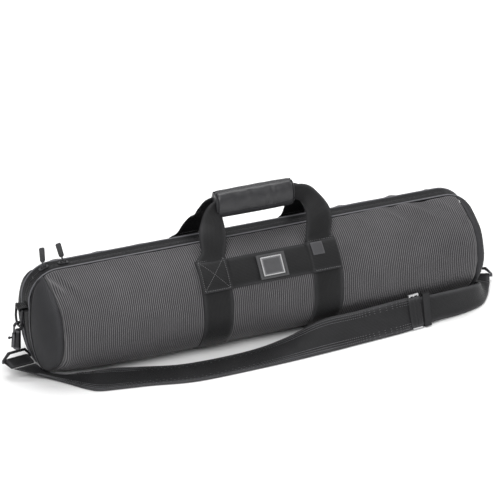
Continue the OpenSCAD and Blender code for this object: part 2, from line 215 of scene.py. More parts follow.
def length(name, text, default):
    return FloatProperty(name=name, description=text, default=default, min=0.0,
                         unit="LENGTH", subtype="DISTANCE", precision=4)


def angle(name, text, degrees):
    return FloatProperty(name=name, description=text, default=math.radians(degrees),
                         unit="ROTATION", subtype="ANGLE")


def colour(name, text, default):
    return FloatVectorProperty(name=name, description=text, default=default, size=3,
                               min=0.0, max=1.0, subtype="COLOR")


class CarryCaseSizes(bpy.types.PropertyGroup):
    tube_radius: length("Tube radius", "Outer radius of the padded tube", SHELL_HIGH[1])
    end_radius: length("End radius", "Outer radius at each end panel's seam", 83 * MM)
    seam_distance: length("Seam distance", "From the middle to each end seam", SHELL_HIGH[0])
    dome_height: length("Dome height", "How far an end panel bulges past its seam", 28 * MM)
    axis_height: length("Axis height", "Height of the tube's axis", 86 * MM)
    fold_height: length("Fold height", "Height of the line where a flap folds", SHELL_HIGH[2])
    straight_half: length("Straight half", "Half of the length that keeps its full radius", 240 * MM)
    fabric_thickness: length("Fabric", "Thickness of the outer fabric", 1.6 * MM)
    padding_thickness: length("Padding", "Thickness of foam and lining together", 8 * MM)
    zip_roll: angle("Zip roll", "Sideways roll of the zip from the top", 7.5)
    zip_half_width: length("Zip half width", "Half of the gap that the zip tapes fill", 17 * MM)
    zip_radius: length("Zip radius", "Height of the zip tape above the tube's axis", 88 * MM)
    zip_bend: length("Zip bend", "Radius of the zip's bend over each end", 50 * MM)
    web_width: length("Webbing width", "Width of bands and handles", 50 * MM)
    web_thickness: length("Webbing thickness", "Thickness of the webbing", 2 * MM)
    band_offset: length("Band offset", "From the middle to each band's centre line", 95 * MM)
    handle_angle: angle("Handle angle", "Where the handles leave the bands, from the top", 31)
    rib_pitch: length("Rib pitch", "Distance between the ribs of the outer fabric", 3.3 * MM)


class CarryCaseColours(bpy.types.PropertyGroup):
    rib: colour("Rib", "Raised ribs of the outer fabric", (0.150, 0.147, 0.150))
    # Groove colour: painted shade. The ground between the ribs is drawn far darker than the ribs, for the shade that
    # falls in the grooves.
    groove_shade: colour("Groove", "Ground between the ribs", (0.016, 0.015, 0.018))
    panel: colour("Panel", "Smooth fabric of the end panels", (0.026, 0.026, 0.028))
    webbing: colour("Webbing", "Bands, handles and strap", (0.0085, 0.0085, 0.009))
    thread: colour("Thread", "Sewing thread", (0.15, 0.15, 0.155))
    tape: colour("Tape", "Zip tape and piping", (0.010, 0.010, 0.011))
    lining: colour("Lining", "Lining inside the case", (0.17, 0.17, 0.18))
    grip: colour("Grip", "Fabric of the padded grip", (0.020, 0.020, 0.022))
    dark_metal: colour("Dark metal", "Blackened clips, rings and sliders", (0.03, 0.03, 0.032))
    bright_metal: colour("Bright metal", "Bare metal fittings", (0.62, 0.62, 0.63))
    moulded: colour("Moulded", "Pull tabs and the badge's plate", (0.016, 0.016, 0.017))


class CarryCaseStage(bpy.types.PropertyGroup):
    azimuth: angle("Azimuth", "Camera's turn to the left of the front", 22.33)
    elevation: angle("Elevation", "Camera's height above the horizon", 27.89)
    distance: length("Distance", "From the camera to the point it looks at", 5.441)
    focal: FloatProperty(name="Focal length", description="Lens in millimetres", default=242.06)
    shift_right: FloatProperty(name="Aim right", description="Aim point's offset to the right",
                               default=-0.00495, unit="LENGTH")
    shift_up: FloatProperty(name="Aim up", description="Aim point's offset upwards",
                            default=0.0472, unit="LENGTH")
    sky: FloatProperty(name="Sky", description="Strength of the even light", default=0.44)
    key: FloatProperty(name="Key", description="Power of the main soft light", default=96.0)
    floor: colour("Floor", "Colour of the floor", (0.9, 0.9, 0.9))


def sizes():
    return bpy.context.scene.carry_case_sizes


def colours():
    return bpy.context.scene.carry_case_colours


# ---- Meshes ----

def add_piece(name, points, faces, finish, uvs=None, smooth=True):
    """Makes one mesh object with a material and, if given, a UV pair for each point."""
    mesh = bpy.data.meshes.new(name)
    mesh.from_pydata([tuple(p) for p in points], [], [tuple(f) for f in faces])
    mesh.validate()
    mesh.materials.append(material(finish))
    if uvs is not None:
        layer = mesh.uv_layers.new(name="route")
        index = np.empty(len(mesh.loops), dtype=np.int32)
        mesh.loops.foreach_get("vertex_index", index)
        layer.data.foreach_set("uv", np.asarray(uvs, dtype=np.float32)[index].ravel())
    mesh.polygons.foreach_set("use_smooth", [smooth] * len(mesh.polygons))
    piece = bpy.data.objects.new(name, mesh)
    bpy.context.scene.collection.objects.link(piece)
    return piece


def grid_faces(rows, columns, first=0, flip=False):
    faces = []
    for i in range(rows - 1):
        for j in range(columns - 1):
            a = first + i * columns + j
            quad = (a, a + 1, a + columns + 1, a + columns)
            faces.append(quad[::-1] if flip else quad)
    return faces


def grid_normals(grid):
    along = np.gradient(grid, axis=0)
    across = np.gradient(grid, axis=1)
    normal = np.cross(along, across)
    size = np.linalg.norm(normal, axis=2, keepdims=True)
    return normal / np.maximum(size, 1e-9)


def slab(name, grid, thickness, uv, finish, outward=None, soft_edge=0.35):
    """A closed sheet: the grid is its outer face, and the inner face lies a thickness below.

    outward(point) is a rough outward direction, used to turn the normals the right way.
    """
    grid = np.asarray(grid, dtype=float)
    rows, columns = grid.shape[:2]
    normal = grid_normals(grid)
    if outward is not None:
        middle = grid[rows // 2, columns // 2]
        if np.dot(normal[rows // 2, columns // 2], outward(middle)) < 0:
            normal = -normal
    thick = np.broadcast_to(np.asarray(thickness, dtype=float), (rows, columns))[..., None]
    outer = grid
    inner = grid - normal * thick
    edge = np.zeros((rows, columns, 1))
    edge[0, :] = edge[-1, :] = edge[:, 0] = edge[:, -1] = 1
    outer = outer - normal * thick * edge * soft_edge
    inner = inner + normal * thick * edge * soft_edge
    points = np.concatenate([outer.reshape(-1, 3), inner.reshape(-1, 3)])
    count = rows * columns
    along, across = np.gradient(grid, axis=0), np.gradient(grid, axis=1)
    r, c = rows // 2, columns // 2
    turned = np.dot(np.cross(across[r, c], along[r, c]), normal[r, c]) < 0
    faces = grid_faces(rows, columns, 0, turned)
    faces += grid_faces(rows, columns, count, not turned)
    rim = [j for j in range(columns)]
    rim += [i * columns + columns - 1 for i in range(1, rows)]
    rim += [(rows - 1) * columns + j for j in range(columns - 2, -1, -1)]
    rim += [i * columns for i in range(rows - 2, 0, -1)]
    for k, a in enumerate(rim):
        b = rim[(k + 1) % len(rim)]
        quad = (b, a, a + count, b + count)
        faces.append(quad[::-1] if turned else quad)
    uv = np.asarray(uv, dtype=float).reshape(-1, 2)
    return add_piece(name, points, faces, finish, np.concatenate([uv, uv]))


def smooth_line(points, count):
    """Evenly spaced points on a Catmull-Rom curve through the given ones."""
    p = np.asarray(points, dtype=float)
    p = np.concatenate([[2 * p[0] - p[1]], p, [2 * p[-1] - p[-2]]])
    fine = []
    for i in range(1, len(p) - 2):
        for t in np.linspace(0, 1, 24, endpoint=False):
            fine.append(0.5 * (2 * p[i] + (p[i + 1] - p[i - 1]) * t
                        + (2 * p[i - 1] - 5 * p[i] + 4 * p[i + 1] - p[i + 2]) * t ** 2
                        + (3 * p[i] - 3 * p[i + 1] + p[i + 2] - p[i - 1]) * t ** 3))
    fine.append(p[-2])
    return even_line(np.array(fine), count)


def even_line(points, count):
    points = np.asarray(points, dtype=float)
    step = np.linalg.norm(np.diff(points, axis=0), axis=1)
    travel = np.concatenate([[0], np.cumsum(step)])
    want = np.linspace(0, travel[-1], count)
    return np.stack([np.interp(want, travel, points[:, k]) for k in range(points.shape[1])], 1)


def line_length(points):
    return float(np.linalg.norm(np.diff(points, axis=0), axis=1).sum())


def ribbon(name, low, high, thickness, finish, columns=9, crown=0.0, outward=None):
    """Webbing between two edge lines; crown lifts its middle off the flat."""
    low, high = np.asarray(low, dtype=float), np.asarray(high, dtype=float)
    t = np.linspace(0, 1, columns)
    grid = low[:, None] * (1 - t[None, :, None]) + high[:, None] * t[None, :, None]
    normal = grid_normals(grid)
    if outward is not None:
        r = len(low) // 2
        if np.dot(normal[r, columns // 2], outward(grid[r, columns // 2])) < 0:
            normal = -normal
    lift = np.asarray(crown, dtype=float).reshape(-1, 1) * (4 * t * (1 - t))[None, :]
    grid = grid + normal * lift[..., None]
    middle = grid[:, columns // 2]
    travel = np.concatenate([[0], np.cumsum(np.linalg.norm(np.diff(middle, axis=0), axis=1))])
    wide = np.linalg.norm(high - low, axis=1)
    uv = np.stack([np.repeat(travel[:, None], columns, 1),
                   (t[None, :] - 0.5) * wide[:, None]], axis=2)
    thickness = np.broadcast_to(np.asarray(thickness, dtype=float).reshape(-1, 1), (len(low), 1))
    grid = grid + normal * (thickness / 2)[..., None]
    return slab(name, grid, thickness, uv, finish, outward)


def tube(name, path, radius, finish, sides=8):
    """A closed round bar along a path."""
    path = np.asarray(path, dtype=float)
    tangent = np.gradient(path, axis=0)
    tangent /= np.linalg.norm(tangent, axis=1, keepdims=True)
    side = np.cross(tangent[0], [0.0, 0.0, 1.0])
    if np.linalg.norm(side) < 1e-3:
        side = np.cross(tangent[0], [0.0, 1.0, 0.0])
    points, uvs, travel = [], [], 0.0
    radius = np.broadcast_to(np.asarray(radius, dtype=float), (len(path),))
    for k, (centre, ahead) in enumerate(zip(path, tangent)):
        side = side - ahead * np.dot(side, ahead)
        side = side / np.linalg.norm(side)
        up = np.cross(ahead, side)
        if k:
            travel += float(np.linalg.norm(centre - path[k - 1]))
        for s in range(sides):
            turn = 2 * math.pi * s / sides
            points.append(centre + radius[k] * (side * math.cos(turn) + up * math.sin(turn)))
            uvs.append((travel, radius[k] * turn))
    faces = []
    for k in range(len(path) - 1):
        for s in range(sides):
            a, b = k * sides + s, k * sides + (s + 1) % sides
            faces.append((a, b, b + sides, a + sides))
    faces.append(tuple(range(sides))[::-1])
    faces.append(tuple(range((len(path) - 1) * sides, len(path) * sides)))
    return add_piece(name, points, faces, finish, uvs)


STITCH_SHAPE = [(-0.5, 0, 0), (-0.25, 0.5, 0), (-0.25, 0, 0.5), (-0.25, -0.5, 0),
                (0.25, 0.5, 0), (0.25, 0, 0.5), (0.25, -0.5, 0), (0.5, 0, 0)]
STITCH_FACES = [(0, 2, 1), (0, 3, 2), (1, 2, 5, 4), (2, 3, 6, 5), (4, 5, 7), (5, 6, 7),
                (0, 1, 4, 7), (0, 7, 6, 3)]


def stitches(name, rows, finish="thread", pitch=3.6 * MM, long=2.9 * MM, wide=0.9 * MM, lift=0.1 * MM):
    """Sewn rows. Each row is a line of points and the surface's normal at each of them."""
    points, faces = [], []
    for path, normals in rows:
        path, normals = np.asarray(path, dtype=float), np.asarray(normals, dtype=float)
        count = max(2, int(line_length(path) / pitch))
        both = even_line(np.concatenate([path, normals], axis=1), count + 1)
        for k in range(count):
            start, stop = both[k, :3], both[k + 1, :3]
            ahead = stop - start
            size = np.linalg.norm(ahead)
            if size < 1e-7:
                continue
            ahead = ahead / size
            up = both[k, 3:] - ahead * np.dot(both[k, 3:], ahead)
            up = up / np.linalg.norm(up)
            side = np.cross(up, ahead)
            centre = (start + stop) / 2 + up * lift
            first = len(points)
            for a, b, c in STITCH_SHAPE:
                points.append(centre + ahead * a * long + side * b * wide + up * c * wide)
            faces += [tuple(first + v for v in face) for face in STITCH_FACES]
    return add_piece(name, points, faces, finish)


def blocks(name, frames, half, finish, corner=0.35):
    """Many small rounded blocks. A frame is a centre and three axes; half gives half sizes."""
    outline = []
    for sx, sy in ((-1, -1), (1, -1), (1, 1), (-1, 1)):
        outline.append((sx, sy))
    points, faces = [], []
    for centre, x, y, z in frames:
        first = len(points)
        for level, draw in ((-1, 1 - corner), (-1 + corner, 1), (1 - corner, 1), (1, 1 - corner)):
            for sx, sy in outline:
                points.append(centre + x * half[0] * sx * draw + y * half[1] * sy * draw
                              + z * half[2] * level)
        for level in range(3):
            for k in range(4):
                a, b = first + level * 4 + k, first + level * 4 + (k + 1) % 4
                faces.append((a, b, b + 4, a + 4))
        faces.append((first + 3, first + 2, first + 1, first))
        faces.append(tuple(first + 12 + k for k in range(4)))
    return add_piece(name, points, faces, finish, smooth=False)


def extruded(name, outline, depth, place, finish, bevel=0.4 * MM, segments=2):
    """A flat outline in local X and Z, drawn out along local Y and set in place."""
    count = len(outline)
    points = [place @ Vector((x, s * depth / 2, z)) for s in (-1, 1) for x, z in outline]
    faces = [tuple(range(count)), tuple(range(2 * count - 1, count - 1, -1))]
    for k in range(count):
        a, b = k, (k + 1) % count
        faces.append((a, a + count, b + count, b))
    piece = add_piece(name, points, faces, finish, smooth=False)
    round_edges(piece, bevel, segments)
    return piece


def round_edges(piece, width, segments=2):
    bevel = piece.modifiers.new("rounded edges", "BEVEL")
    bevel.width = width
    bevel.segments = segments
    bevel.limit_method = "ANGLE"
    bevel.angle_limit = math.radians(35)
    bevel.harden_normals = False
    for polygon in piece.data.polygons:
        polygon.use_smooth = True
    try:
        with bpy.context.temp_override(object=piece, selected_objects=[piece],
                                       selected_editable_objects=[piece], active_object=piece):
            bpy.ops.object.shade_auto_smooth(angle=math.radians(40))
    except RuntimeError:
        pass


# ---- Materials ----

def node(tree, kind, settings=None, sockets=None):
    made = tree.nodes.new("ShaderNode" + kind)
    for key, value in (settings or {}).items():
        setattr(made, key, value)
    for key, value in (sockets or {}).items():
        if isinstance(value, bpy.types.NodeSocket):
            tree.links.new(value, made.inputs[key])
        else:
            made.inputs[key].default_value = value
    return made


def maths(tree, operation, a, b=None, c=None, clamp=False):
    sockets = {0: a}
    if b is not None:
        sockets[1] = b
    if c is not None:
        sockets[2] = c
    return node(tree, "Math", {"operation": operation, "use_clamp": clamp}, sockets).outputs[0]


def mix_colour(tree, factor, a, b, blend="MIX"):
    made = node(tree, "Mix", {"data_type": "RGBA", "blend_type": blend})
    for key, value in ((0, factor), (6, a), (7, b)):
        if isinstance(value, bpy.types.NodeSocket):
            tree.links.new(value, made.inputs[key])
        else:
            made.inputs[key].default_value = value
    return made.outputs[2]


def new_group(name, inputs, outputs):
    group = bpy.data.node_groups.get(name)
    if group:
        return group, None, None
    group = bpy.data.node_groups.new(name, "ShaderNodeTree")
    for label, kind, default in inputs:
        socket = group.interface.new_socket(label, in_out="INPUT", socket_type="NodeSocket" + kind)
        if default is not None:
            socket.default_value = default
    for label, kind in outputs:
        group.interface.new_socket(label, in_out="OUTPUT", socket_type="NodeSocket" + kind)
    return group, group.nodes.new("NodeGroupInput"), group.nodes.new("NodeGroupOutput")


def rib_group():
    """Raised ribs across U, broken up by threads along V and a slow wobble."""
    group, given, out = new_group(
        "Fabric ribs",
        [("Vector", "Vector", None), ("Pitch", "Float", 0.0033), ("Wobble", "Float", 0.0012)],
        [("Height", "Float"), ("Thread", "Float")])
    if given is None:
        return group
    t = group
    slow = node(t, "TexNoise", {"noise_dimensions": "2D"},
                {"Vector": given.outputs["Vector"], "Scale": 22.0, "Detail": 2.0, "Roughness": 0.5})
    shift = maths(t, "MULTIPLY", maths(t, "SUBTRACT", slow.outputs[0], 0.5),
                  maths(t, "MULTIPLY", given.outputs["Wobble"], 2.0))
    split = node(t, "SeparateXYZ", None, {0: given.outputs["Vector"]})
    across = maths(t, "ADD", split.outputs[0], shift)
    turns = maths(t, "DIVIDE", across, given.outputs["Pitch"])
    wave = maths(t, "SINE", maths(t, "MULTIPLY", turns, 2 * math.pi))
    ridge = maths(t, "MULTIPLY_ADD", wave, 0.5, 0.5)
    ridge = maths(t, "POWER", ridge, 1.4)
    row = maths(t, "FLOOR", turns)
    lag = maths(t, "MULTIPLY", maths(t, "MODULO", row, 2.0), 0.5)
    along = maths(t, "ADD", maths(t, "DIVIDE", split.outputs[1], 0.0021), lag)
    thread = maths(t, "SINE", maths(t, "MULTIPLY", along, 2 * math.pi))
    thread = maths(t, "MULTIPLY_ADD", thread, 0.5, 0.5)
    t.links.new(maths(t, "MULTIPLY", ridge, maths(t, "MULTIPLY_ADD", thread, 0.4, 0.6)),
                out.inputs["Height"])
    t.links.new(thread, out.inputs["Thread"])
    return group


def weave_group():
    """A plain weave: threads pass over and under each other at a pitch along U and V."""
    group, given, out = new_group(
        "Plain weave",
        [("Vector", "Vector", None), ("Pitch U", "Float", 0.001), ("Pitch V", "Float", 0.001)],
        [("Height", "Float")])
    if given is None:
        return group
    t = group
    split = node(t, "SeparateXYZ", None, {0: given.outputs["Vector"]})
    u = maths(t, "SINE", maths(t, "MULTIPLY", maths(t, "DIVIDE", split.outputs[0],
              given.outputs["Pitch U"]), math.pi))
    v = maths(t, "SINE", maths(t, "MULTIPLY", maths(t, "DIVIDE", split.outputs[1],
              given.outputs["Pitch V"]), math.pi))
    t.links.new(maths(t, "MULTIPLY_ADD", maths(t, "MULTIPLY", u, v), 0.5, 0.5), out.inputs["Height"])
    return group


def webbing_group():
    """Webbing: cords along U, cross threads, and thicker selvedges at both edges in V."""
    group, given, out = new_group(
        "Webbing weave",
        [("Vector", "Vector", None), ("Half width", "Float", 0.025)],
        [("Height", "Float"), ("Edge", "Float")])
    if given is None:
        return group
    t = group
    split = node(t, "SeparateXYZ", None, {0: given.outputs["Vector"]})
    cord = maths(t, "SINE", maths(t, "MULTIPLY", split.outputs[1], 2 * math.pi / 0.0022))
    slant = maths(t, "ADD", split.outputs[0], maths(t, "MULTIPLY", cord, 0.0005))
    cross = maths(t, "SINE", maths(t, "MULTIPLY", slant, 2 * math.pi / 0.0013))
    height = maths(t, "ADD", maths(t, "MULTIPLY", cord, 0.3), maths(t, "MULTIPLY", cross, 0.25))
    t.links.new(maths(t, "ADD", height, 0.5), out.inputs["Height"])
    from_middle = maths(t, "DIVIDE", maths(t, "ABSOLUTE", split.outputs[1]),
                        given.outputs["Half width"])
    edge = node(t, "MapRange", {"interpolation_type": "SMOOTHSTEP"},
                {0: from_middle, 1: 0.86, 2: 0.97, 3: 0.0, 4: 1.0})
    t.links.new(edge.outputs[0], out.inputs["Edge"])
    return group


def wear_group():
    """Rubbed edges and slow variation over a colour."""
    group, given, out = new_group(
        "Wear",
        [("Colour", "Color", (0.1, 0.1, 0.1, 1)), ("Worn", "Color", (0.3, 0.3, 0.3, 1)),
         ("Edges", "Float", 0.5), ("Patches", "Float", 0.3), ("Scale", "Float", 30.0)],
        [("Colour", "Color"), ("Mask", "Float")])
    if given is None:
        return group
    t = group
    place = node(t, "TexCoord")
    patch = node(t, "TexNoise", None, {"Vector": place.outputs["Object"],
                 "Scale": given.outputs["Scale"], "Detail": 6.0, "Roughness": 0.62})
    shape = node(t, "NewGeometry")
    edge = node(t, "MapRange", {"interpolation_type": "SMOOTHSTEP"},
                {0: shape.outputs["Pointiness"], 1: 0.505, 2: 0.56, 3: 0.0, 4: 1.0})
    rubbed = maths(t, "MULTIPLY", maths(t, "MULTIPLY", edge.outputs[0], given.outputs["Edges"]),
                   maths(t, "MULTIPLY_ADD", patch.outputs[0], 0.9, 0.3), clamp=True)
    slow = node(t, "MapRange", None, {0: patch.outputs[0], 1: 0.3, 2: 0.7, 3: -1.0, 4: 1.0})
    light = maths(t, "MULTIPLY_ADD", maths(t, "MULTIPLY", slow.outputs[0],
                  given.outputs["Patches"]), 1.0, 1.0)
    varied = node(t, "VectorMath", {"operation": "SCALE"},
                  {0: given.outputs["Colour"], 3: light})
    t.links.new(mix_colour(t, rubbed, varied.outputs[0], given.outputs["Worn"]),
                out.inputs["Colour"])
    t.links.new(rubbed, out.inputs["Mask"])
    return group


def use_group(tree, group, sockets):
    made = node(tree, "Group")
    made.node_tree = group
    for key, value in sockets.items():
        if isinstance(value, bpy.types.NodeSocket):
            tree.links.new(value, made.inputs[key])
        else:
            made.inputs[key].default_value = value
    return made


def start_material(name, constants):
    made = bpy.data.materials.new(name)
    made.use_nodes = True
    tree = made.node_tree
    shader = tree.nodes["Principled BSDF"]
    for key, value in constants.items():
        shader.inputs[key].default_value = value
    return made, tree, shader


def rgba(value, scale=1.0):
    return (value[0] * scale, value[1] * scale, value[2] * scale, 1.0)


def bump(tree, shader, height, strength, distance):
    made = node(tree, "Bump", None, {"Strength": strength, "Distance": distance, "Height": height})
    tree.links.new(made.outputs[0], shader.inputs["Normal"])


def make_ribbed_fabric(name):
    c = colours()
    made, tree, shader = start_material(name, {
        "Sheen Weight": 0.06, "Sheen Roughness": 0.35, "Specular IOR Level": 0.18})
    place = node(tree, "TexCoord").outputs["UV"]
    ribs = use_group(tree, rib_group(), {"Vector": place, "Pitch": sizes().rib_pitch,
                                         "Wobble": 1.6 * MM})
    # The rib height darkens the valleys towards the groove colour: painted shade in the grooves between the ribs.
    base = mix_colour(tree, ribs.outputs["Height"], rgba(c.groove_shade), rgba(c.rib))
    worn = use_group(tree, wear_group(), {"Colour": base, "Worn": rgba(c.rib, 1.8),
                     "Edges": 0.25, "Patches": 0.16, "Scale": 9.0})
    tree.links.new(worn.outputs["Colour"], shader.inputs["Base Color"])
    rough = maths(tree, "MULTIPLY_ADD", ribs.outputs["Thread"], -0.16, 0.72)
    tree.links.new(rough, shader.inputs["Roughness"])
    bump(tree, shader, ribs.outputs["Height"], 0.9, 0.5 * MM)
    return made


def make_plain_fabric(name, base, pitch=0.9 * MM, sheen=0.05, patches=0.18, strength=0.5,
                      rough=0.78, gloss=0.14):
    made, tree, shader = start_material(name, {
        "Sheen Weight": sheen, "Sheen Roughness": 0.4, "Specular IOR Level": gloss})
    place = node(tree, "TexCoord").outputs["UV"]
    weave = use_group(tree, weave_group(), {"Vector": place, "Pitch U": pitch, "Pitch V": pitch})
    shade = mix_colour(tree, weave.outputs["Height"], rgba(base, 0.72), rgba(base, 1.25))
    worn = use_group(tree, wear_group(), {"Colour": shade, "Worn": rgba(base, 2.2),
                     "Edges": 0.4, "Patches": patches, "Scale": 14.0})
    tree.links.new(worn.outputs["Colour"], shader.inputs["Base Color"])
    tree.links.new(maths(tree, "MULTIPLY_ADD", weave.outputs["Height"], -0.12, rough),
                   shader.inputs["Roughness"])
    bump(tree, shader, weave.outputs["Height"], strength, 0.3 * MM)
    return made


def make_webbing(name, scale=1.0):
    c = colours()
    made, tree, shader = start_material(name, {
        "Sheen Weight": 0.03, "Sheen Roughness": 0.3, "Specular IOR Level": 0.16})
    place = node(tree, "TexCoord").outputs["UV"]
    weave = use_group(tree, webbing_group(), {"Vector": place, "Half width": sizes().web_width / 2})
    shade = mix_colour(tree, weave.outputs["Height"], rgba(c.webbing, 0.45 * scale),
                       rgba(c.webbing, 1.75 * scale))
    shade = mix_colour(tree, maths(tree, "MULTIPLY", weave.outputs["Edge"], 0.35), shade,
                       rgba(c.webbing, 2.4 * scale))
    worn = use_group(tree, wear_group(), {"Colour": shade, "Worn": rgba(c.webbing, 5.0 * scale),
                     "Edges": 0.5, "Patches": 0.22, "Scale": 16.0})
    tree.links.new(worn.outputs["Colour"], shader.inputs["Base Color"])
    tree.links.new(maths(tree, "MULTIPLY_ADD", weave.outputs["Height"], -0.18, 0.62),
                   shader.inputs["Roughness"])
    bump(tree, shader, weave.outputs["Height"], 0.55, 0.35 * MM)
    return made


def make_metal(name, base, rough, worn_scale):
    made, tree, shader = start_material(name, {"Specular IOR Level": 0.5})
    place = node(tree, "TexCoord").outputs["Object"]
    worn = use_group(tree, wear_group(), {"Colour": rgba(base), "Worn": rgba(base, worn_scale),
                     "Edges": 0.8, "Patches": 0.2, "Scale": 120.0})
    tree.links.new(worn.outputs["Colour"], shader.inputs["Base Color"])
    grain = node(tree, "TexNoise", None, {"Vector": place, "Scale": 700.0, "Detail": 4.0,
                                          "Roughness": 0.6})
    tree.links.new(maths(tree, "MULTIPLY_ADD", grain.outputs[0], 0.22, rough - 0.11),
                   shader.inputs["Roughness"])
    shader.inputs["Metallic"].default_value = 0.9
    bump(tree, shader, grain.outputs[0], 0.25, 0.06 * MM)
    return made


def make_moulded(name, base, rough=0.5):
    made, tree, shader = start_material(name, {"Specular IOR Level": 0.45, "Coat Weight": 0.05})
    place = node(tree, "TexCoord").outputs["Object"]
    worn = use_group(tree, wear_group(), {"Colour": rgba(base), "Worn": rgba(base, 4.0),
                     "Edges": 0.6, "Patches": 0.15, "Scale": 90.0})
    tree.links.new(worn.outputs["Colour"], shader.inputs["Base Color"])
    pits = node(tree, "TexVoronoi", {"feature": "F1"}, {"Vector": place, "Scale": 1500.0})
    tree.links.new(maths(tree, "MULTIPLY_ADD", pits.outputs["Distance"], 0.15, rough - 0.06),
                   shader.inputs["Roughness"])
    bump(tree, shader, pits.outputs["Distance"], 0.3, 0.08 * MM)
    return made


def make_thread(name, base):
    made, tree, shader = start_material(name, {"Sheen Weight": 0.1, "Specular IOR Level": 0.3})
    place = node(tree, "TexCoord").outputs["Object"]
    twist = node(tree, "TexWave", {"bands_direction": "DIAGONAL"},
                 {"Vector": place, "Scale": 900.0, "Distortion": 1.0})
    shade = mix_colour(tree, twist.outputs["Fac"], rgba(base, 0.6), rgba(base, 1.3))
    tree.links.new(shade, shader.inputs["Base Color"])
    shader.inputs["Roughness"].default_value = 0.55
    return made


def make_floor(name):
    stage = bpy.context.scene.carry_case_stage
    made, tree, shader = start_material(name, {"Specular IOR Level": 0.1})
    place = node(tree, "TexCoord").outputs["Object"]
    cloud = node(tree, "TexNoise", None, {"Vector": place, "Scale": 1.2, "Detail": 2.0})
    shade = mix_colour(tree, cloud.outputs[0], rgba(stage.floor, 0.985), rgba(stage.floor, 1.0))
    tree.links.new(shade, shader.inputs["Base Color"])
    shader.inputs["Roughness"].default_value = 0.8
    return made


def finishes():
    c = colours()
    return {
        "ribbed": lambda n: make_ribbed_fabric(n),
        "panel": lambda n: make_plain_fabric(n, c.panel, 1.0 * MM, 0.05, 0.12),
        "webbing": lambda n: make_webbing(n),
        "strap": lambda n: make_webbing(n, 1.8),
        "thread": lambda n: make_thread(n, c.thread),
        "strap_thread": lambda n: make_thread(n, [v * 12.0 for v in c.webbing]),
        "dark_thread": lambda n: make_thread(n, [v * 3.2 for v in c.webbing]),
        "tape": lambda n: make_plain_fabric(n, c.tape, 0.8 * MM, 0.03, 0.1, 0.4, 0.7),
        # The piping is drawn seven times paler than the tape. Partly this is its own lighter colour, and partly it is
        # a painted highlight for the lit pale lines along the zip.
        "piping": lambda n: make_plain_fabric(n, [v * 7.0 for v in c.tape], 0.7 * MM, 0.05, 0.1, 0.4, 0.5,
                                              0.4),
        "lining": lambda n: make_plain_fabric(n, c.lining, 1.2 * MM, 0.1, 0.08),
        "grip": lambda n: make_plain_fabric(n, c.grip, 0.8 * MM, 0.05, 0.15, 0.35, 0.42, 0.45),
        "grip_hem": lambda n: make_plain_fabric(n, [v * 0.8 for v in c.grip], 1.2 * MM, 0.05, 0.3, 0.9),
        "coil": lambda n: make_moulded(n, [v * 0.6 for v in c.tape], 0.45),
        "dark_metal": lambda n: make_metal(n, c.dark_metal, 0.36, 5.0),
        "bright_metal": lambda n: make_metal(n, c.bright_metal, 0.3, 1.3),
        "moulded": lambda n: make_moulded(n, c.moulded),
        "badge_face": lambda n: make_moulded(n, [v * 3.0 for v in c.moulded], 0.42),
        "patch": lambda n: make_plain_fabric(n, [v * 6.0 for v in c.webbing], 0.9 * MM, 0.05, 0.1),
        "floor": lambda n: make_floor(n),
    }


def material(finish):
    found = bpy.data.materials.get("case_" + finish)
    return found or finishes()[finish]("case_" + finish)


def dress(name, finish, bevel=0.0):
    """Gives a CAD node its finish, and rounds its edges where asked."""
    piece = frame["nodes"][name]
    piece.data.materials.clear()
    piece.data.materials.append(material(finish))
    for slot in piece.material_slots:
        slot.material = material(finish)
    if bevel:
        round_edges(piece, bevel)


# ---- The case's shape ----

def tube_radius(x):
    s = sizes()
    part = np.clip((np.abs(x) - s.straight_half) / (s.seam_distance - s.straight_half), 0, None)
    return s.tube_radius - (s.tube_radius - s.end_radius) * part ** 2


def from_zip(v, w):
    """From the zip's own frame, sideways and up, to Y and Z."""
    s = sizes()
    sine, cosine = math.sin(s.zip_roll), math.cos(s.zip_roll)
    return v * cosine + w * sine, s.axis_height - v * sine + w * cosine


def rest_on(z, floor):
    """Lets a height come down to the floor and no further, with a soft corner."""
    over = z - floor
    return floor + 0.5 * (over + np.sqrt(over ** 2 + (1.2 * MM) ** 2))


def field(x, y, z, scale, seed=0.0):
    """Smooth noise sampled at many points."""
    flat = np.stack([np.ravel(x), np.ravel(y), np.ravel(z)], 1) * scale + seed
    values = np.array([noise.noise(Vector(p)) for p in flat])
    return values.reshape(np.shape(x))


def fold_blend(piece, side, offset=0.0):
    """Fabric that crosses a flap's fold line."""
    s = sizes()
    flap = "front_flap" if side == FRONT else "rear_flap"
    y = -side * (s.tube_radius - 2.6 * MM)
    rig.blend(piece, "case", flap, start=(0, y, s.fold_height - 12 * MM + offset),
             end=(0, y, s.fold_height + 12 * MM + offset))


# A crease or roll in the outer fabric: where it lies along the case and round it from
# the top, its slant from the case's length, its half length, half width and height.
FRONT_FOLDS = [
    (-346, 27, 62, 26, 6, 3.2), (-337, 33, 70, 34, 8, -2.4), (-322, 30, 58, 30, 9, 1.6),
    (-205, 20, 60, 26, 7, 1.0), (-150, 22, 66, 22, 6, -0.9),
    (236, 20, 48, 34, 6, 1.5), (258, 18, 46, 36, 6, -1.3), (282, 17, 44, 40, 6, 1.6),
    (312, 16, 40, 36, 7, -1.2), (338, 26, 60, 30, 7, 1.4), (180, 18, 58, 24, 7, 1.0),
    (352, 120, 92, 30, 6, 1.0), (-350, 118, 88, 30, 6, 1.2), (-352, 82, 80, 24, 5, -1.2),
]
REAR_FOLDS = [
    (-330, 34, 118, 30, 7, 1.6), (-250, 30, 124, 30, 7, 1.2), (-160, 28, 120, 22, 6, -0.8),
    (170, 30, 62, 26, 7, 1.0), (262, 30, 56, 34, 7, 1.4), (330, 34, 60, 30, 7, 1.5),
    (350, 100, 88, 28, 6, 1.0), (-350, 100, 92, 28, 6, 1.0),
]


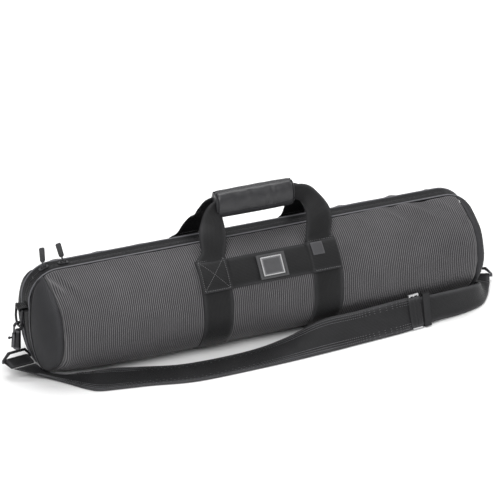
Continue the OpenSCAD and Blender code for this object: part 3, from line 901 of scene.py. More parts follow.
def fold_height_at(x, arc, folds):
    height = np.zeros_like(x)
    for at, turn, slant, half_long, half_wide, high in folds:
        dx = x - at * MM
        da = arc - math.radians(turn) * sizes().tube_radius
        cosine, sine = math.cos(math.radians(slant)), math.sin(math.radians(slant))
        along = dx * cosine + da * sine
        across = -dx * sine + da * cosine
        height += high * MM * np.exp(-(along / (half_long * MM)) ** 2
                                     - (across / (half_wide * MM)) ** 2)
    return height


# How far before an end seam the zip starts to bend down.
ZIP_BEND_START = 24 * MM
# How far the skin's zip edge blends into the tube, and how an end seam is drawn in.
ZIP_EDGE_BLEND = 26 * MM
SEAM_SHIFT = 8 * MM
SEAM_DIP = 5 * MM
# How much higher the wrinkles stand than their table says.
FOLD_GAIN = 1.7


def zip_height(x):
    """How high the zip's tape runs above the tube's axis, at a distance along the case."""
    s = sizes()
    past = np.clip(np.abs(x) - (s.seam_distance - ZIP_BEND_START), 0, None)
    return s.zip_radius - s.zip_bend + np.sqrt(s.zip_bend ** 2 - past ** 2)


def ease(value, low, high):
    t = np.clip((value - low) / (high - low), 0, 1)
    return t * t * (3 - 2 * t)


def seam_pull(end, side, turn):
    """How far an end seam is drawn in towards the middle of the case, between 0 and 1."""
    strength = np.where(np.asarray(end) < 0, 1.0, -0.8) * (1.0 if side == FRONT else 0.75)
    degrees = np.degrees(turn)
    return strength * ease(degrees, 12, 62) * (1 - ease(degrees, 128, 176))


def tube_sheet(side, inset, columns, rows, detail):
    """Points of a half tube from the zip's edge to the bottom, and their unrolled places."""
    s = sizes()
    x = np.linspace(-s.seam_distance, s.seam_distance, columns)
    t = np.linspace(0, 1, rows)
    radius = tube_radius(x)
    height = zip_height(x)
    half = s.zip_half_width + 0.5 * MM
    edge = np.arctan2(half, height) - side * s.zip_roll
    turn = edge[:, None] + t[None, :] * (math.pi - edge[:, None])
    to_zip = t[None, :] * (math.pi - edge[:, None]) * s.tube_radius
    lift = np.hypot(half, height) - radius
    x = np.repeat(x[:, None], rows, 1)
    arc = turn * s.tube_radius
    r = radius[:, None] + lift[:, None] * np.exp(-(to_zip / ZIP_EDGE_BLEND) ** 2) - inset
    if detail:
        y0, z0 = -side * r * np.sin(turn), r * np.cos(turn)
        loose = np.clip((np.abs(x) - 0.128) / 0.05, 0, 1)
        slack = field(x, y0, z0, 11.0, 3.1 * side) * 1.6 * MM + field(x, y0, z0, 28.0, 7.7) * 0.5 * MM
        r = r + loose * (slack + 0.3 * MM)
        r = r + FOLD_GAIN * fold_height_at(x, arc, FRONT_FOLDS if side == FRONT else REAR_FOLDS)
        to_seam = s.seam_distance - np.abs(x)
        pucker = np.sin(arc / (5.2 * MM) + 3 * field(x, y0, z0, 20.0, 1.0))
        r = r + pucker * 0.45 * MM * np.exp(-to_seam / (7 * MM))
        r = r - 2.0 * MM * np.exp(-(to_seam / (2.2 * MM)) ** 2)
        pull = seam_pull(np.sign(x), side, turn)
        r = r - SEAM_DIP * np.abs(pull) * np.exp(-(to_seam / (10 * MM)) ** 1.5)
        r = r + np.sin(x / (4.4 * MM)) * 0.25 * MM * np.exp(-to_zip / (6 * MM))
        r = r - 1.2 * MM * np.exp(-(to_zip / (1.8 * MM)) ** 2)
    y = -side * r * np.sin(turn)
    z = rest_on(s.axis_height + r * np.cos(turn), s.web_thickness + max(inset, 0.0))
    drawn = seam_pull(np.sign(x), side, turn) * SEAM_SHIFT * (np.abs(x) / s.seam_distance) ** 7
    return np.stack([x - np.sign(x) * drawn, y, z], 2), np.stack([x, arc], 2)


def away_from_axis(point):
    return np.array([0.0, point[1], point[2] - sizes().axis_height])


def dome_x(v, w):
    s = sizes()
    part = np.clip(1 - (v ** 2 + w ** 2) / s.end_radius ** 2, 0, 1)
    return s.seam_distance + s.dome_height * np.sqrt(part)


def zip_outline(lift=0.0):
    """The zip's route in X and the zip frame's W: up one end, along the top, down the other."""
    s = sizes()
    bend_x = s.seam_distance - ZIP_BEND_START
    bend_w = s.zip_radius - s.zip_bend
    w_low = s.fold_height - s.axis_height + 1.0 * MM
    turns = np.radians(np.linspace(0, 90, 14))
    end = [(bend_x + s.zip_bend + lift, w_low)]
    end += [(bend_x + (s.zip_bend + lift) * math.cos(a), bend_w + (s.zip_bend + lift) * math.sin(a))
            for a in turns]
    left = [(-x, w) for x, w in end]
    return left + end[::-1]


def zip_line(v, lift, count, outline=None):
    points = even_line(outline or zip_outline(lift), count)
    y, z = from_zip(np.full(count, v), points[:, 1])
    return np.stack([points[:, 0], y, z], 1)


def full_outline(v, lift):
    """As the zip's route, carried on down both ends to the bottom."""
    s = sizes()
    top = zip_outline(lift)
    w = np.linspace(-math.sqrt(s.end_radius ** 2 - v ** 2) + 0.5 * MM, top[0][1] - 6 * MM, 18)
    down = [(-float(dome_x(v, k)) - lift, float(k)) for k in w]
    return down + top + [(-x, k) for x, k in down[::-1]]


# ---- Pieces ----

STRAP_LOW = [
    (-419, -25, 22), (-398, -31, 14), (-370, -42, 5), (-344, -66, 1), (-322, -92, 0.5),
    (-304, -106, 0.5), (-268, -113, 0.5), (-222, -121, 0.5), (-149, -136, 0.5), (-44, -136, 0.5),
    (30, -133, 0.5), (85, -129, 0.5), (140, -124, 0.5), (208, -118, 0.5), (232, -114, 0.5)]
STRAP_HIGH = [
    (-379, -15, 18), (-366, -30, 9), (-338, -48, 7), (-318, -56, 10), (-300, -62, 12),
    (-282, -66, 14), (-262, -66, 12), (-222, -68, 6), (-149, -82, 3), (-44, -82, 3),
    (24, -82, 14), (82, -92, 40), (140, -99, 47), (208, -96, 50), (232, -96, 51)]
ADJUSTER_LOW = [(252, -111, 3), (285, -105, 3), (330, -97, 1), (370, -84, 1), (393, -62, 3),
                (413, -31, 9)]
ADJUSTER_HIGH = [(252, -98, 49), (285, -99, 50), (330, -97, 50), (366, -84, 44), (382, -52, 26),
                 (386, -13, 13)]
STRAP_LIFT = 1.2


def in_metres(points, lift=0.0):
    return (np.array(points, dtype=float) + (0, 0, lift)) * MM


def strap_edges(low, high, count):
    return (smooth_line(in_metres(low, STRAP_LIFT), count),
            smooth_line(in_metres(high, STRAP_LIFT), count))


def make_strap():
    pad_low, pad_high = strap_edges(STRAP_LOW, STRAP_HIGH, 150)
    web_low, web_high = strap_edges(ADJUSTER_LOW, ADJUSTER_HIGH, 56)
    low = np.concatenate([pad_low, web_low])
    high = np.concatenate([pad_high, web_high])
    thick = np.concatenate([np.full(len(pad_low), 3.0), np.full(len(web_low), 2.0)]) * MM
    upward = lambda point: np.array([0.0, -0.6, 1.0])
    piece = ribbon("shoulder_strap", low, high, thick[:, None], "strap", 11, 0.0, upward)
    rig.ride(piece, "case")
    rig.slot(piece, "webbing")
    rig.replaces(piece, "strap_web", "adjuster_web")
    t = np.linspace(0, 1, 11)
    grid = pad_low[:, None] * (1 - t[None, :, None]) + pad_high[:, None] * t[None, :, None]
    normal = grid_normals(grid)
    if normal[75, 5] @ np.array([0, -0.6, 1.0]) < 0:
        normal = -normal
    rows = []
    for part in (0.07, 0.14, 0.21, 0.79, 0.86, 0.93):
        line = pad_low * (1 - part) + pad_high * part
        rows.append((line[8:] + normal[8:, 5] * 1.5 * MM, normal[8:, 5]))
        rows.append((line[8:] - normal[8:, 5] * 1.5 * MM, -normal[8:, 5]))
    seams = stitches("strap_stitching", rows, "strap_thread", pitch=3.4 * MM, lift=0.4 * MM)
    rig.ride(seams, "case")
    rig.slot(seams, "webbing")
    middle = (low + high) / 2
    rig.cord(piece, exit=tuple(middle[0]), length=round(line_length(middle), 3), diameter=0.05,
            far_end="object", stiffness="medium", lay="loose", path=[tuple(p) for p in middle],
            with_pieces=[seams, frame["nodes"]["tri_glide"], frame["nodes"]["strap_keeper"]])
    return piece


def make_skins():
    for side, label in ((FRONT, "front"), (REAR, "rear")):
        grid, uv = tube_sheet(side, 0.0, 300, 96, True)
        piece = slab(label + "_skin", grid, sizes().fabric_thickness, uv, "ribbed", away_from_axis)
        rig.slot(piece, "ribbed_fabric")
        nodes = [label + "_shell"] + (["lower_shell"] if side == FRONT else [])
        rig.replaces(piece, *nodes)
        fold_blend(piece, side)


# How far the padding puffs an end panel out, and how far from the zip it takes to rise.
PANEL_PUFF = 3.4 * MM
PUFF_START = 12 * MM


def side_label(end, side):
    return ("left" if end == LEFT else "right") + ("_front" if side == FRONT else "_rear")


def end_panel(end, side):
    s = sizes()
    columns, rows = 22, 64
    lowest = math.asin(s.zip_half_width / s.end_radius)
    turn = np.linspace(lowest, math.pi - lowest, rows)
    w = s.end_radius * np.cos(turn)
    far = s.end_radius * np.sin(turn)
    t = np.linspace(0, 1, columns)
    v = s.zip_half_width + (far - s.zip_half_width)[:, None] * t[None, :] ** 0.8
    w = np.repeat(w[:, None], columns, 1)
    x = dome_x(v, w)
    pull = seam_pull(end, side, turn - side * s.zip_roll)[:, None] * t[None, :] ** 2
    shrink = 1 - (SEAM_DIP + 1.6 * MM) * np.abs(pull) * t[None, :] ** 3 / s.end_radius
    y, z = from_zip(-side * v * shrink, w * shrink)
    x = x - SEAM_SHIFT * pull
    inside = (np.clip((far[:, None] - v) / (16 * MM), 0, 1) ** 0.6
              * np.clip((v - s.zip_half_width) / PUFF_START, 0, 1))
    x = x + inside * PANEL_PUFF + inside * field(x, y, z, 24.0, 5.0 + side) * 1.6 * MM
    pucker = np.exp(-(far[:, None] - v) / (5 * MM)) * np.sin(turn[:, None] * s.end_radius / (3.4 * MM))
    x = x + pucker * 0.35 * MM
    grid = np.stack([end * x, y, z], 2)
    uv = np.stack([w, v], 2)
    outward = lambda point: np.array([float(end), 0.0, 0.0])
    label = side_label(end, side)
    piece = slab(label + "_end_panel", grid, s.fabric_thickness, uv, "panel", outward)
    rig.slot(piece, "end_fabric")
    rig.replaces(piece, *(("front_end_panels", "lower_end_panels") if side == FRONT
                         else ("rear_end_panels",)))
    fold_blend(piece, side)


def end_binding(end, side):
    """The dark facing sewn beside the zip's strip, down each end."""
    s = sizes()
    near, far = s.zip_half_width, s.zip_half_width + 8 * MM
    top = math.sqrt(s.end_radius ** 2 - far ** 2) - 1 * MM
    ww, vv = np.meshgrid(np.linspace(-top, top, 60), np.linspace(near, far, 7), indexing="ij")
    puff = PANEL_PUFF * np.clip((vv - near) / PUFF_START, 0, 1)
    x = dome_x(vv, ww) + puff + 1.3 * MM
    y, z = from_zip(-side * vv, ww)
    outward = lambda point: np.array([float(end), 0.0, 0.0])
    label = side_label(end, side)
    piece = slab(label + "_end_binding", np.stack([end * x, y, z], 2), 1.2 * MM,
                 np.stack([ww, vv], 2), "tape", outward)
    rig.slot(piece, "zip_tape")
    fold_blend(piece, side)


def make_end_strips():
    s = sizes()
    for end, label in ((LEFT, "left"), (RIGHT, "right")):
        half = s.zip_half_width
        w = np.linspace(s.fold_height - s.axis_height, -math.sqrt(s.end_radius ** 2 - half ** 2), 50)
        v = np.linspace(-half, half, 15)
        ww, vv = np.meshgrid(w, v, indexing="ij")
        x = dome_x(vv, ww) - 0.6 * MM + 0.4 * MM * np.cos(vv / half * math.pi)
        y, z = from_zip(vv, ww)
        grid = np.stack([end * x, y, z], 2)
        outward = lambda point: np.array([float(end), 0.0, 0.0])
        piece = slab(label + "_end_strip", grid, 1.3 * MM, np.stack([ww, vv], 2), "tape", outward)
        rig.ride(piece, "case")
        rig.slot(piece, "zip_tape")
        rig.replaces(piece, "lower_end_strips")


# The padding lies this far under the fabric, so that no wrinkle digs through to it.
PADDING_GAP = 4.4 * MM
PADDING_TRIM = 4 * MM
PADDING_SHARE_OF_LENGTH = 0.945
QUILT_PITCH = 0.06


def make_padding():
    s = sizes()
    for side, label in ((FRONT, "front"), (REAR, "rear")):
        inset = s.fabric_thickness + PADDING_GAP
        grid, uv = tube_sheet(side, inset, 120, 40, False)
        grid[..., 0] *= PADDING_SHARE_OF_LENGTH
        quilt = np.abs(np.sin(grid[..., 0] / QUILT_PITCH * math.pi)) ** 0.5
        thick = (s.padding_thickness - PADDING_TRIM) * (0.82 + 0.18 * quilt)
        piece = slab(label + "_padding", grid, thick, uv, "lining", away_from_axis, 0.15)
        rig.slot(piece, "lining")
        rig.padded(piece, fill=0.8)
        nodes = [label + "_foam", label + "_lining"]
        if side == FRONT:
            nodes += ["lower_foam", "lower_lining"]
        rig.replaces(piece, *nodes)
        fold_blend(piece, side)


def make_end_padding():
    s = sizes()
    for end, label in ((LEFT, "left"), (RIGHT, "right")):
        turn = np.linspace(0, 2 * math.pi, 49)
        part = np.linspace(0.02, 1, 14)
        reach = s.end_radius - 13 * MM
        tt, pp = np.meshgrid(turn, part, indexing="ij")
        y = reach * pp * np.sin(tt)
        z = s.axis_height + reach * pp * np.cos(tt)
        keep = np.minimum(z, s.fold_height - 2 * MM)
        x = dome_x(y, keep - s.axis_height) - 13 * MM
        grid = np.stack([end * x, y, keep], 2)
        outward = lambda point: np.array([float(end), 0.0, 0.0])
        piece = slab(label + "_end_padding", grid, 6 * MM, np.stack([y, z], 2), "lining", outward, 0.1)
        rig.ride(piece, "case")
        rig.slot(piece, "lining")
        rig.padded(piece, fill=0.8)


def make_zip():
    s = sizes()
    for side, label in ((FRONT, "front"), (REAR, "rear")):
        flap = label + "_flap"
        count = 220
        inner = zip_line(-side * 3.4 * MM, -0.2 * MM, count)
        outer = zip_line(-side * (s.zip_half_width + 0.6 * MM), 0.2 * MM, count)
        upward = lambda point: np.array([0.0, 0.0, 1.0])
        tape = ribbon(label + "_zip_tape", inner, outer, 0.9 * MM, "tape", 7, 0.3 * MM, upward)
        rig.ride(tape, flap)
        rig.slot(tape, "zip_tape")
        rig.replaces(tape, label + "_tape")
        total = line_length(np.array(zip_outline(-0.4 * MM)))
        count = int(total / (2.4 * MM))
        line = zip_line(-side * 2.0 * MM, -0.4 * MM, count)
        ahead = np.gradient(line, axis=0)
        ahead /= np.linalg.norm(ahead, axis=1, keepdims=True)
        y, z = from_zip(1.0, 0.0)
        across = np.array([0.0, y, z - s.axis_height])
        frames = []
        for k in range(count):
            up = np.cross(ahead[k], across)
            frames.append((line[k] + ahead[k] * (0.6 * MM if side == FRONT else -0.6 * MM),
                           ahead[k], across, up))
        coil = blocks(label + "_zip_coil", frames, (0.75 * MM, 1.55 * MM, 1.15 * MM), "coil")
        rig.ride(coil, flap)
        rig.slot(coil, "coil")
        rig.replaces(coil, label + "_coil")
        at = -side * (s.zip_half_width + 0.9 * MM)
        outline = even_line(full_outline(abs(at), 0.9 * MM), 420)
        y, z = from_zip(np.full(len(outline), at), outline[:, 1])
        cord = tube(label + "_piping", np.stack([outline[:, 0], y, z], 1), 1.35 * MM, "piping")
        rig.slot(cord, "zip_tape")
        fold_blend(cord, side)
        rows = []
        for offset in (5.6, 13.6):
            edge = zip_line(-side * offset * MM, 0.75 * MM, 400)
            up = np.cross(np.gradient(edge, axis=0), across)
            rows.append((edge, up))
        seams = stitches(label + "_zip_stitching", rows, "dark_thread", pitch=3.0 * MM,
                         long=2.2 * MM, wide=0.6 * MM, lift=0.05 * MM)
        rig.ride(seams, flap)
        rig.slot(seams, "zip_tape")


def on_tube(x, turn, radius, side):
    """Points on the tube at an angle from the top, resting no lower than the floor."""
    s = sizes()
    y = -side * radius * np.sin(turn)
    z = s.axis_height + radius * np.cos(turn)
    return np.stack([x + 0 * turn, y, np.maximum(z, 0.0)], -1)


def make_bands():
    s = sizes()
    outer = s.tube_radius + s.web_thickness
    for side, label in ((FRONT, "front"), (REAR, "rear")):
        for end, name in ((LEFT, "left"), (RIGHT, "right")):
            turn = np.linspace(s.handle_angle - 0.01, math.pi, 110)
            offset = np.linspace(-s.web_width / 2, s.web_width / 2, 11)
            tt, oo = np.meshgrid(turn, offset, indexing="ij")
            wavy = 0.25 * MM * np.sin(tt * 7 + end) * (np.abs(oo) / (s.web_width / 2)) ** 3
            grid = on_tube(end * s.band_offset + oo, tt, outer + wavy, side)
            uv = np.stack([tt * outer, oo], 2)
            piece = slab("%s_%s_band" % (name, label), grid, s.web_thickness - 0.2 * MM, uv,
                         "webbing", away_from_axis)
            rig.slot(piece, "webbing")
            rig.replaces(piece, *((label + "_bands",) + (("lower_bands",) if side == FRONT else ())))
            fold_blend(piece, side)


CROSS_TOP = math.radians(33.5)
CROSS_BOTTOM = math.radians(65)


def arc_normals(line):
    normal = line - np.array([0, 0, sizes().axis_height])
    normal[:, 0] = 0
    return normal / np.linalg.norm(normal, axis=1, keepdims=True)


def make_cross_strap():
    s = sizes()
    reach = s.band_offset + s.web_width / 2
    x = np.linspace(-reach, reach, 140)
    turn = np.linspace(CROSS_TOP, CROSS_BOTTOM, 13)
    xx, tt = np.meshgrid(x, turn, indexing="ij")
    lap = s.band_offset - s.web_width / 2
    climb = ease(np.abs(xx), lap - 5 * MM, lap + 2 * MM) * 4.2 * MM
    radius = s.tube_radius + s.web_thickness - 0.1 * MM + climb
    grid = on_tube(xx, tt, radius, FRONT)
    uv = np.stack([xx, (tt - (CROSS_TOP + CROSS_BOTTOM) / 2) * s.tube_radius], 2)
    piece = slab("cross_webbing", grid, 1.7 * MM, uv, "webbing", away_from_axis)
    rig.ride(piece, "front_flap")
    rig.slot(piece, "webbing")
    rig.replaces(piece, "cross_strap")


def make_sewn_boxes():
    """Box and cross stitching where the handles are sewn to the bands and the cross strap."""
    s = sizes()
    inset = 3.5 * MM
    for side, label in ((FRONT, "front"), (REAR, "rear")):
        radius = s.tube_radius + 2 * s.web_thickness + (2.2 if side == FRONT else 0.4) * MM
        rows = []
        for end in (LEFT, RIGHT):
            low_x = end * s.band_offset - s.web_width / 2 + inset
            high_x = end * s.band_offset + s.web_width / 2 - inset
            top, bottom = s.handle_angle + 0.045, CROSS_BOTTOM - 0.03
            corners = [(low_x, top), (high_x, top), (high_x, bottom), (low_x, bottom)]
            runs = [(0, 1), (1, 2), (2, 3), (3, 0), (0, 2), (1, 3)]
            if side == FRONT and end == RIGHT:
                runs = [(0, 1), (2, 3)]
            for a, b in runs:
                t = np.linspace(0, 1, 24)
                x = corners[a][0] * (1 - t) + corners[b][0] * t
                turn = corners[a][1] * (1 - t) + corners[b][1] * t
                line = on_tube(x, turn, radius, side)
                rows.append((line, arc_normals(line)))
            line = on_tube(np.linspace(low_x, high_x, 24), np.full(24, top - 0.03), radius, side)
            rows.append((line, arc_normals(line)))
        seams = stitches(label + "_box_stitching", rows, "thread", pitch=3.0 * MM, long=2.3 * MM,
                         wide=0.7 * MM)
        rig.ride(seams, label + "_flap")
        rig.slot(seams, "webbing")


def make_size_patch():
    low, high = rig.box("size_patch")
    s = sizes()
    x = np.linspace(low[0], high[0], 13)
    radius = s.tube_radius + 2 * s.web_thickness + 3.1 * MM
    half = 11 * MM / radius
    middle = math.radians(42)
    xx, tt = np.meshgrid(x, np.linspace(middle - half, middle + half, 13), indexing="ij")
    grid = on_tube(xx, tt, radius, FRONT)
    uv = np.stack([xx, tt * radius], 2)
    piece = slab("woven_patch", grid, 0.9 * MM, uv, "patch", away_from_axis)
    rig.ride(piece, "front_flap")
    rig.slot(piece, "webbing")
    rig.replaces(piece, "size_patch")


def badge_place():
    s = sizes()
    low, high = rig.box("badge_plate")
    turn = Matrix.Rotation(math.radians(50), 4, "X")
    return (Matrix.Translation(((low[0] + high[0]) / 2, 0, s.axis_height)) @ turn
            @ Matrix.Translation((0, 0, s.tube_radius + s.web_thickness - 0.9 * MM)))


def make_badge():
    dress("badge_plate", "moulded", 0.5 * MM)
    dress("badge_frame", "bright_metal", 0.15 * MM)
    place = badge_place()
    rows, columns = 20, 22
    u = np.linspace(-15.6, 15.6, columns) * MM
    v = np.linspace(-13.1, 13.1, rows) * MM
    points = []
    for b in v:
        for a in u:
            rise = 3.30 * MM + 0.12 * MM * math.cos(a / (15.6 * MM) * math.pi / 2)
            points.append(place @ Vector((a, b, rise)))
    grid = np.array([tuple(p) for p in points]).reshape(rows, columns, 3)
    vv, uu = np.meshgrid(v, u, indexing="ij")
    piece = slab("badge_face", grid, 0.25 * MM, np.stack([uu, vv], 2), "badge_face", away_from_axis)
    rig.ride(piece, "front_flap")
    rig.slot(piece, "badge")


# The handle legs from the sewn foot to inside the grip, in mm: the inner edge, the outer edge.
FRONT_LEFT_LEG = (
    [(-69.4, -50.5, 166), (-64, -43.3, 178), (-60, -34.5, 192), (-59, -25, 206), (-57, -9.4, 216),
     (-54, -6.6, 221), (-44, -6.4, 223)],
    [(-118, -50, 167), (-107.5, -44.3, 177), (-106.5, -35.6, 191), (-104, -26.3, 205),
     (-95, -12.6, 215), (-87, -6.6, 227), (-79, -6.6, 238), (-66, -6.4, 245), (-50, -6.4, 248)])
FRONT_RIGHT_LEG = (
    [(70.3, -50.5, 166), (71.4, -46, 174), (76.3, -37.5, 188), (80, -26.7, 203), (80, -10, 213),
     (74, -6.6, 219), (62, -6.4, 222), (44, -6.4, 223)],
    [(117, -50, 167), (116, -46, 174), (121.8, -37.5, 188), (122.6, -27, 204), (119, -14.8, 214),
     (110, -6.6, 226), (98, -6.6, 239), (85, -6.6, 246), (70, -6.4, 248), (50, -6.4, 248)])
REAR_LEG = (
    [(70, 48, 169), (70, 36, 190), (71, 26, 205), (69, 11, 214), (60, 6.6, 220), (44, 6.4, 223)],
    [(113, 48, 169), (107, 36, 190), (101, 26, 205), (97, 12, 215), (92, 6.6, 229),
     (78, 6.6, 242), (50, 6.4, 248)])


LEG_CURL = 4.5 * MM


def make_handles():
    s = sizes()
    foot = s.tube_radius + 2 * s.web_thickness - 0.7 * MM
    half = s.web_width / 2
    for side, label in ((FRONT, "front"), (REAR, "rear")):
        for end, name in ((LEFT, "left"), (RIGHT, "right")):
            turn = np.radians(np.linspace(60, 36, 12))
            inner = on_tube(np.full(12, end * (s.band_offset - half)), turn, foot, side)
            outer = on_tube(np.full(12, end * (s.band_offset + half)), turn, foot, side)
            if side == REAR:
                legs_in, legs_out = [[(end * x, y, z) for x, y, z in edge] for edge in REAR_LEG]
            else:
                legs_in, legs_out = FRONT_LEFT_LEG if end == LEFT else FRONT_RIGHT_LEG
            inner = smooth_line(np.concatenate([inner[::3], in_metres(legs_in)]), 100)
            outer = smooth_line(np.concatenate([outer[::3], in_metres(legs_out)]), 100)
            part = np.clip((np.linspace(0, 1, 100) - 0.22) / 0.7, 0, 1)
            curl = LEG_CURL * np.sin(math.pi * part)
            outward = lambda point: np.array([0.0, -float(side), 0.3])
            piece = ribbon("%s_%s_handle" % (name, label), inner, outer, s.web_thickness, "webbing",
                           11, curl, outward)
            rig.slot(piece, "webbing")
            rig.replaces(piece, label + "_handle_web")
            pivot_y, pivot_z = 49.65 * MM, 168.63 * MM
            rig.blend(piece, label + "_flap", label + "_handle",
                     start=(0, -side * (pivot_y + 5 * MM), pivot_z - 5 * MM),
                     end=(0, -side * (pivot_y - 4 * MM), pivot_z + 7 * MM))


def grip_point(x, turn, side, lift=0.0):
    """A place on a grip pad's cover; turn runs from its top edge over the outside to its bottom."""
    low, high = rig.box("front_grip")
    half_long = (high[0] - low[0]) / 2
    half_high = (high[2] - low[2]) / 2
    near = min(x + half_long, half_long - x)
    draw = 1 - 0.16 * max(0.0, 1 - near / (7 * MM)) ** 2
    sag = 1 + 0.03 * math.cos(x / half_long * math.pi / 2)
    up = half_high * math.cos(turn) * draw * sag
    out = -low[1] * math.sin(turn) ** 0.72 * draw * sag if turn < math.pi else 0.0
    place = Vector((x * 16, out * 30, up * 22))
    gather = math.sin(x / (5.2 * MM) + 2.4 * noise.noise(Vector((x * 40, up * 12, 3.0 + side))))
    crease = noise.noise(place) * 0.9 * MM + noise.noise(place * 2.7) * 0.4 * MM
    crease += gather * 1.3 * MM * max(0.0, math.cos(turn - 1.0))
    out = max(0.4 * MM, out + crease * math.sin(turn)) + lift * math.sin(turn)
    return x, -side * out, (high[2] + low[2]) / 2 + up + lift * math.cos(turn)


def make_grip():
    low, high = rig.box("front_grip")
    half_long = (high[0] - low[0]) / 2
    for side, label in ((FRONT, "front"), (REAR, "rear")):
        rows, columns = 150, 40
        turn = np.linspace(0, math.pi, columns)
        points = [grip_point(at, a, side)
                  for at in np.linspace(-half_long, half_long, rows) for a in turn]
        faces = []
        for i in range(rows - 1):
            for j in range(columns):
                a, b = i * columns + j, i * columns + (j + 1) % columns
                faces.append((a, b, b + columns, a + columns)[::side])
        faces.append(tuple(range(columns))[::-side])
        faces.append(tuple(range((rows - 1) * columns, rows * columns))[::side])
        uvs = [(p[0], p[2] * 1.3 + abs(p[1])) for p in points]
        piece = add_piece(label + "_grip_pad", points, faces, "grip", uvs)
        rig.ride(piece, label + "_handle")
        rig.slot(piece, "grip_fabric")
        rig.padded(piece, fill=0.7)
        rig.replaces(piece, label + "_grip", "hook_strip" if side == FRONT else "loop_strip")
        hem_x = np.linspace(-half_long + 2 * MM, half_long - 2 * MM, 90)
        hem_turn = np.linspace(2.05, 2.62, 7)
        grid = np.array([[grip_point(at, a, side, 0.9 * MM) for a in hem_turn] for at in hem_x])
        xx, tt = np.meshgrid(hem_x, hem_turn, indexing="ij")
        away = lambda point, side=side: np.array([0.0, -float(side), -0.5])
        hem = slab(label + "_grip_hem", grid, 0.8 * MM, np.stack([xx, tt * 12 * MM], 2),
                   "grip_hem", away)
        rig.ride(hem, label + "_handle")
        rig.slot(hem, "grip_fabric")
        for end in (LEFT, RIGHT):
            at = end * (half_long - 2.2 * MM)
            loop = [grip_point(at, a, side, 0.3 * MM) for a in np.linspace(0.08, math.pi - 0.08, 40)]
            name = "%s_grip_binding_%s" % (label, "left" if end == LEFT else "right")
            seam = tube(name, loop, 0.9 * MM, "tape", 8)
            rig.ride(seam, label + "_handle")
            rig.slot(seam, "grip_fabric")


def ring_local(end):
    ring = "left_d_ring" if end == LEFT else "right_d_ring"
    low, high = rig.box(ring)
    near = high[0] - 2 * MM if end == LEFT else low[0] + 2 * MM
    return Vector((near, (low[1] + high[1]) / 2, high[2] - 2 * MM))


def make_ring_tabs():
    for end, label in ((LEFT, "left"), (RIGHT, "right")):
        bar = ring_local(end)
        low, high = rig.box("ring_tab_" + label)
        near_x = end * 378 * MM
        turns = np.radians(np.linspace(90, -90, 13))
        radius = 3.55 * MM
        loop = [(near_x, bar.z + radius - 0.6 * MM)]
        loop += [(bar.x + end * radius * math.cos(a), bar.z + radius * math.sin(a)) for a in turns]
        loop += [(near_x, bar.z - radius + 0.6 * MM)]
        loop = even_line(loop, 60)
        front = np.stack([loop[:, 0], np.full(60, low[1]), loop[:, 1]], 1)
        back = np.stack([loop[:, 0], np.full(60, high[1]), loop[:, 1]], 1)
        outward = lambda point, bar=bar, end=end: np.array([float(end), 0, 0.0])
        piece = ribbon("ring_tab_webbing_" + label, front, back, 1.6 * MM, "webbing", 7, 0.0, outward)
        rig.ride(piece, "case")
        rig.slot(piece, "webbing")
        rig.replaces(piece, "ring_tab_" + label)
        rows = []
        for at in (388, 391, 394):
            line = np.array([(end * at * MM, y, bar.z + radius + 0.9 * MM)
                             for y in np.linspace(low[1] + 2 * MM, high[1] - 2 * MM, 12)])
            rows.append((line, np.tile([0.0, 0.0, 1.0], (12, 1))))
        seams = stitches("ring_tab_stitching_" + label, rows, "thread", pitch=2.2 * MM, long=1.8 * MM,
                         wide=0.6 * MM)
        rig.ride(seams, "case")
        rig.slot(seams, "webbing")


CHAIN_LEAN = {LEFT: 5, RIGHT: -5}
FOLD_TURN = {LEFT: 15, RIGHT: -25}
FOLD_DROP = 91.85 * MM
FOLD_TAIL = 19 * MM


def make_folds():
    """Webbing sewn round each swivel's bar."""
    s = sizes()
    for end, label in ((LEFT, "left"), (RIGHT, "right")):
        lean = Matrix.Rotation(math.radians(CHAIN_LEAN[end]), 4, "Y")
        turn = Matrix.Rotation(math.radians(FOLD_TURN[end]), 4, "Z")
        place = (Matrix.Translation(ring_local(end)) @ lean @ turn
                 @ Matrix.Translation((0, 0, -FOLD_DROP)))
        radius = 3.3 * MM
        half = s.web_width / 2 - 3.5 * MM
        path = [(-FOLD_TAIL, -1.1 * MM)]
        path += [(radius * math.sin(a), radius * math.cos(a))
                 for a in np.radians(np.linspace(-40, 180, 16))]
        path += [(-FOLD_TAIL, -radius)]
        path = even_line(path, 60)
        left = np.array([tuple(place @ Vector((-half, a, b))) for a, b in path])
        right = np.array([tuple(place @ Vector((half, a, b))) for a, b in path])
        outward = lambda point: np.array([0.0, 1.0, 0.2])
        piece = ribbon(label + "_fold_webbing", left, right, 1.7 * MM, "strap", 9, 0.0, outward)
        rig.ride(piece, label + "_swivel")
        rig.slot(piece, "webbing")
        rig.replaces(piece, label + "_fold")


PULL_PIN = 5.4 * MM
RIGHT_SLIDER_X = -319 * MM
RIGHT_PULL_LEAN = -12
LEFT_SLIDER_LEAN = 18.7


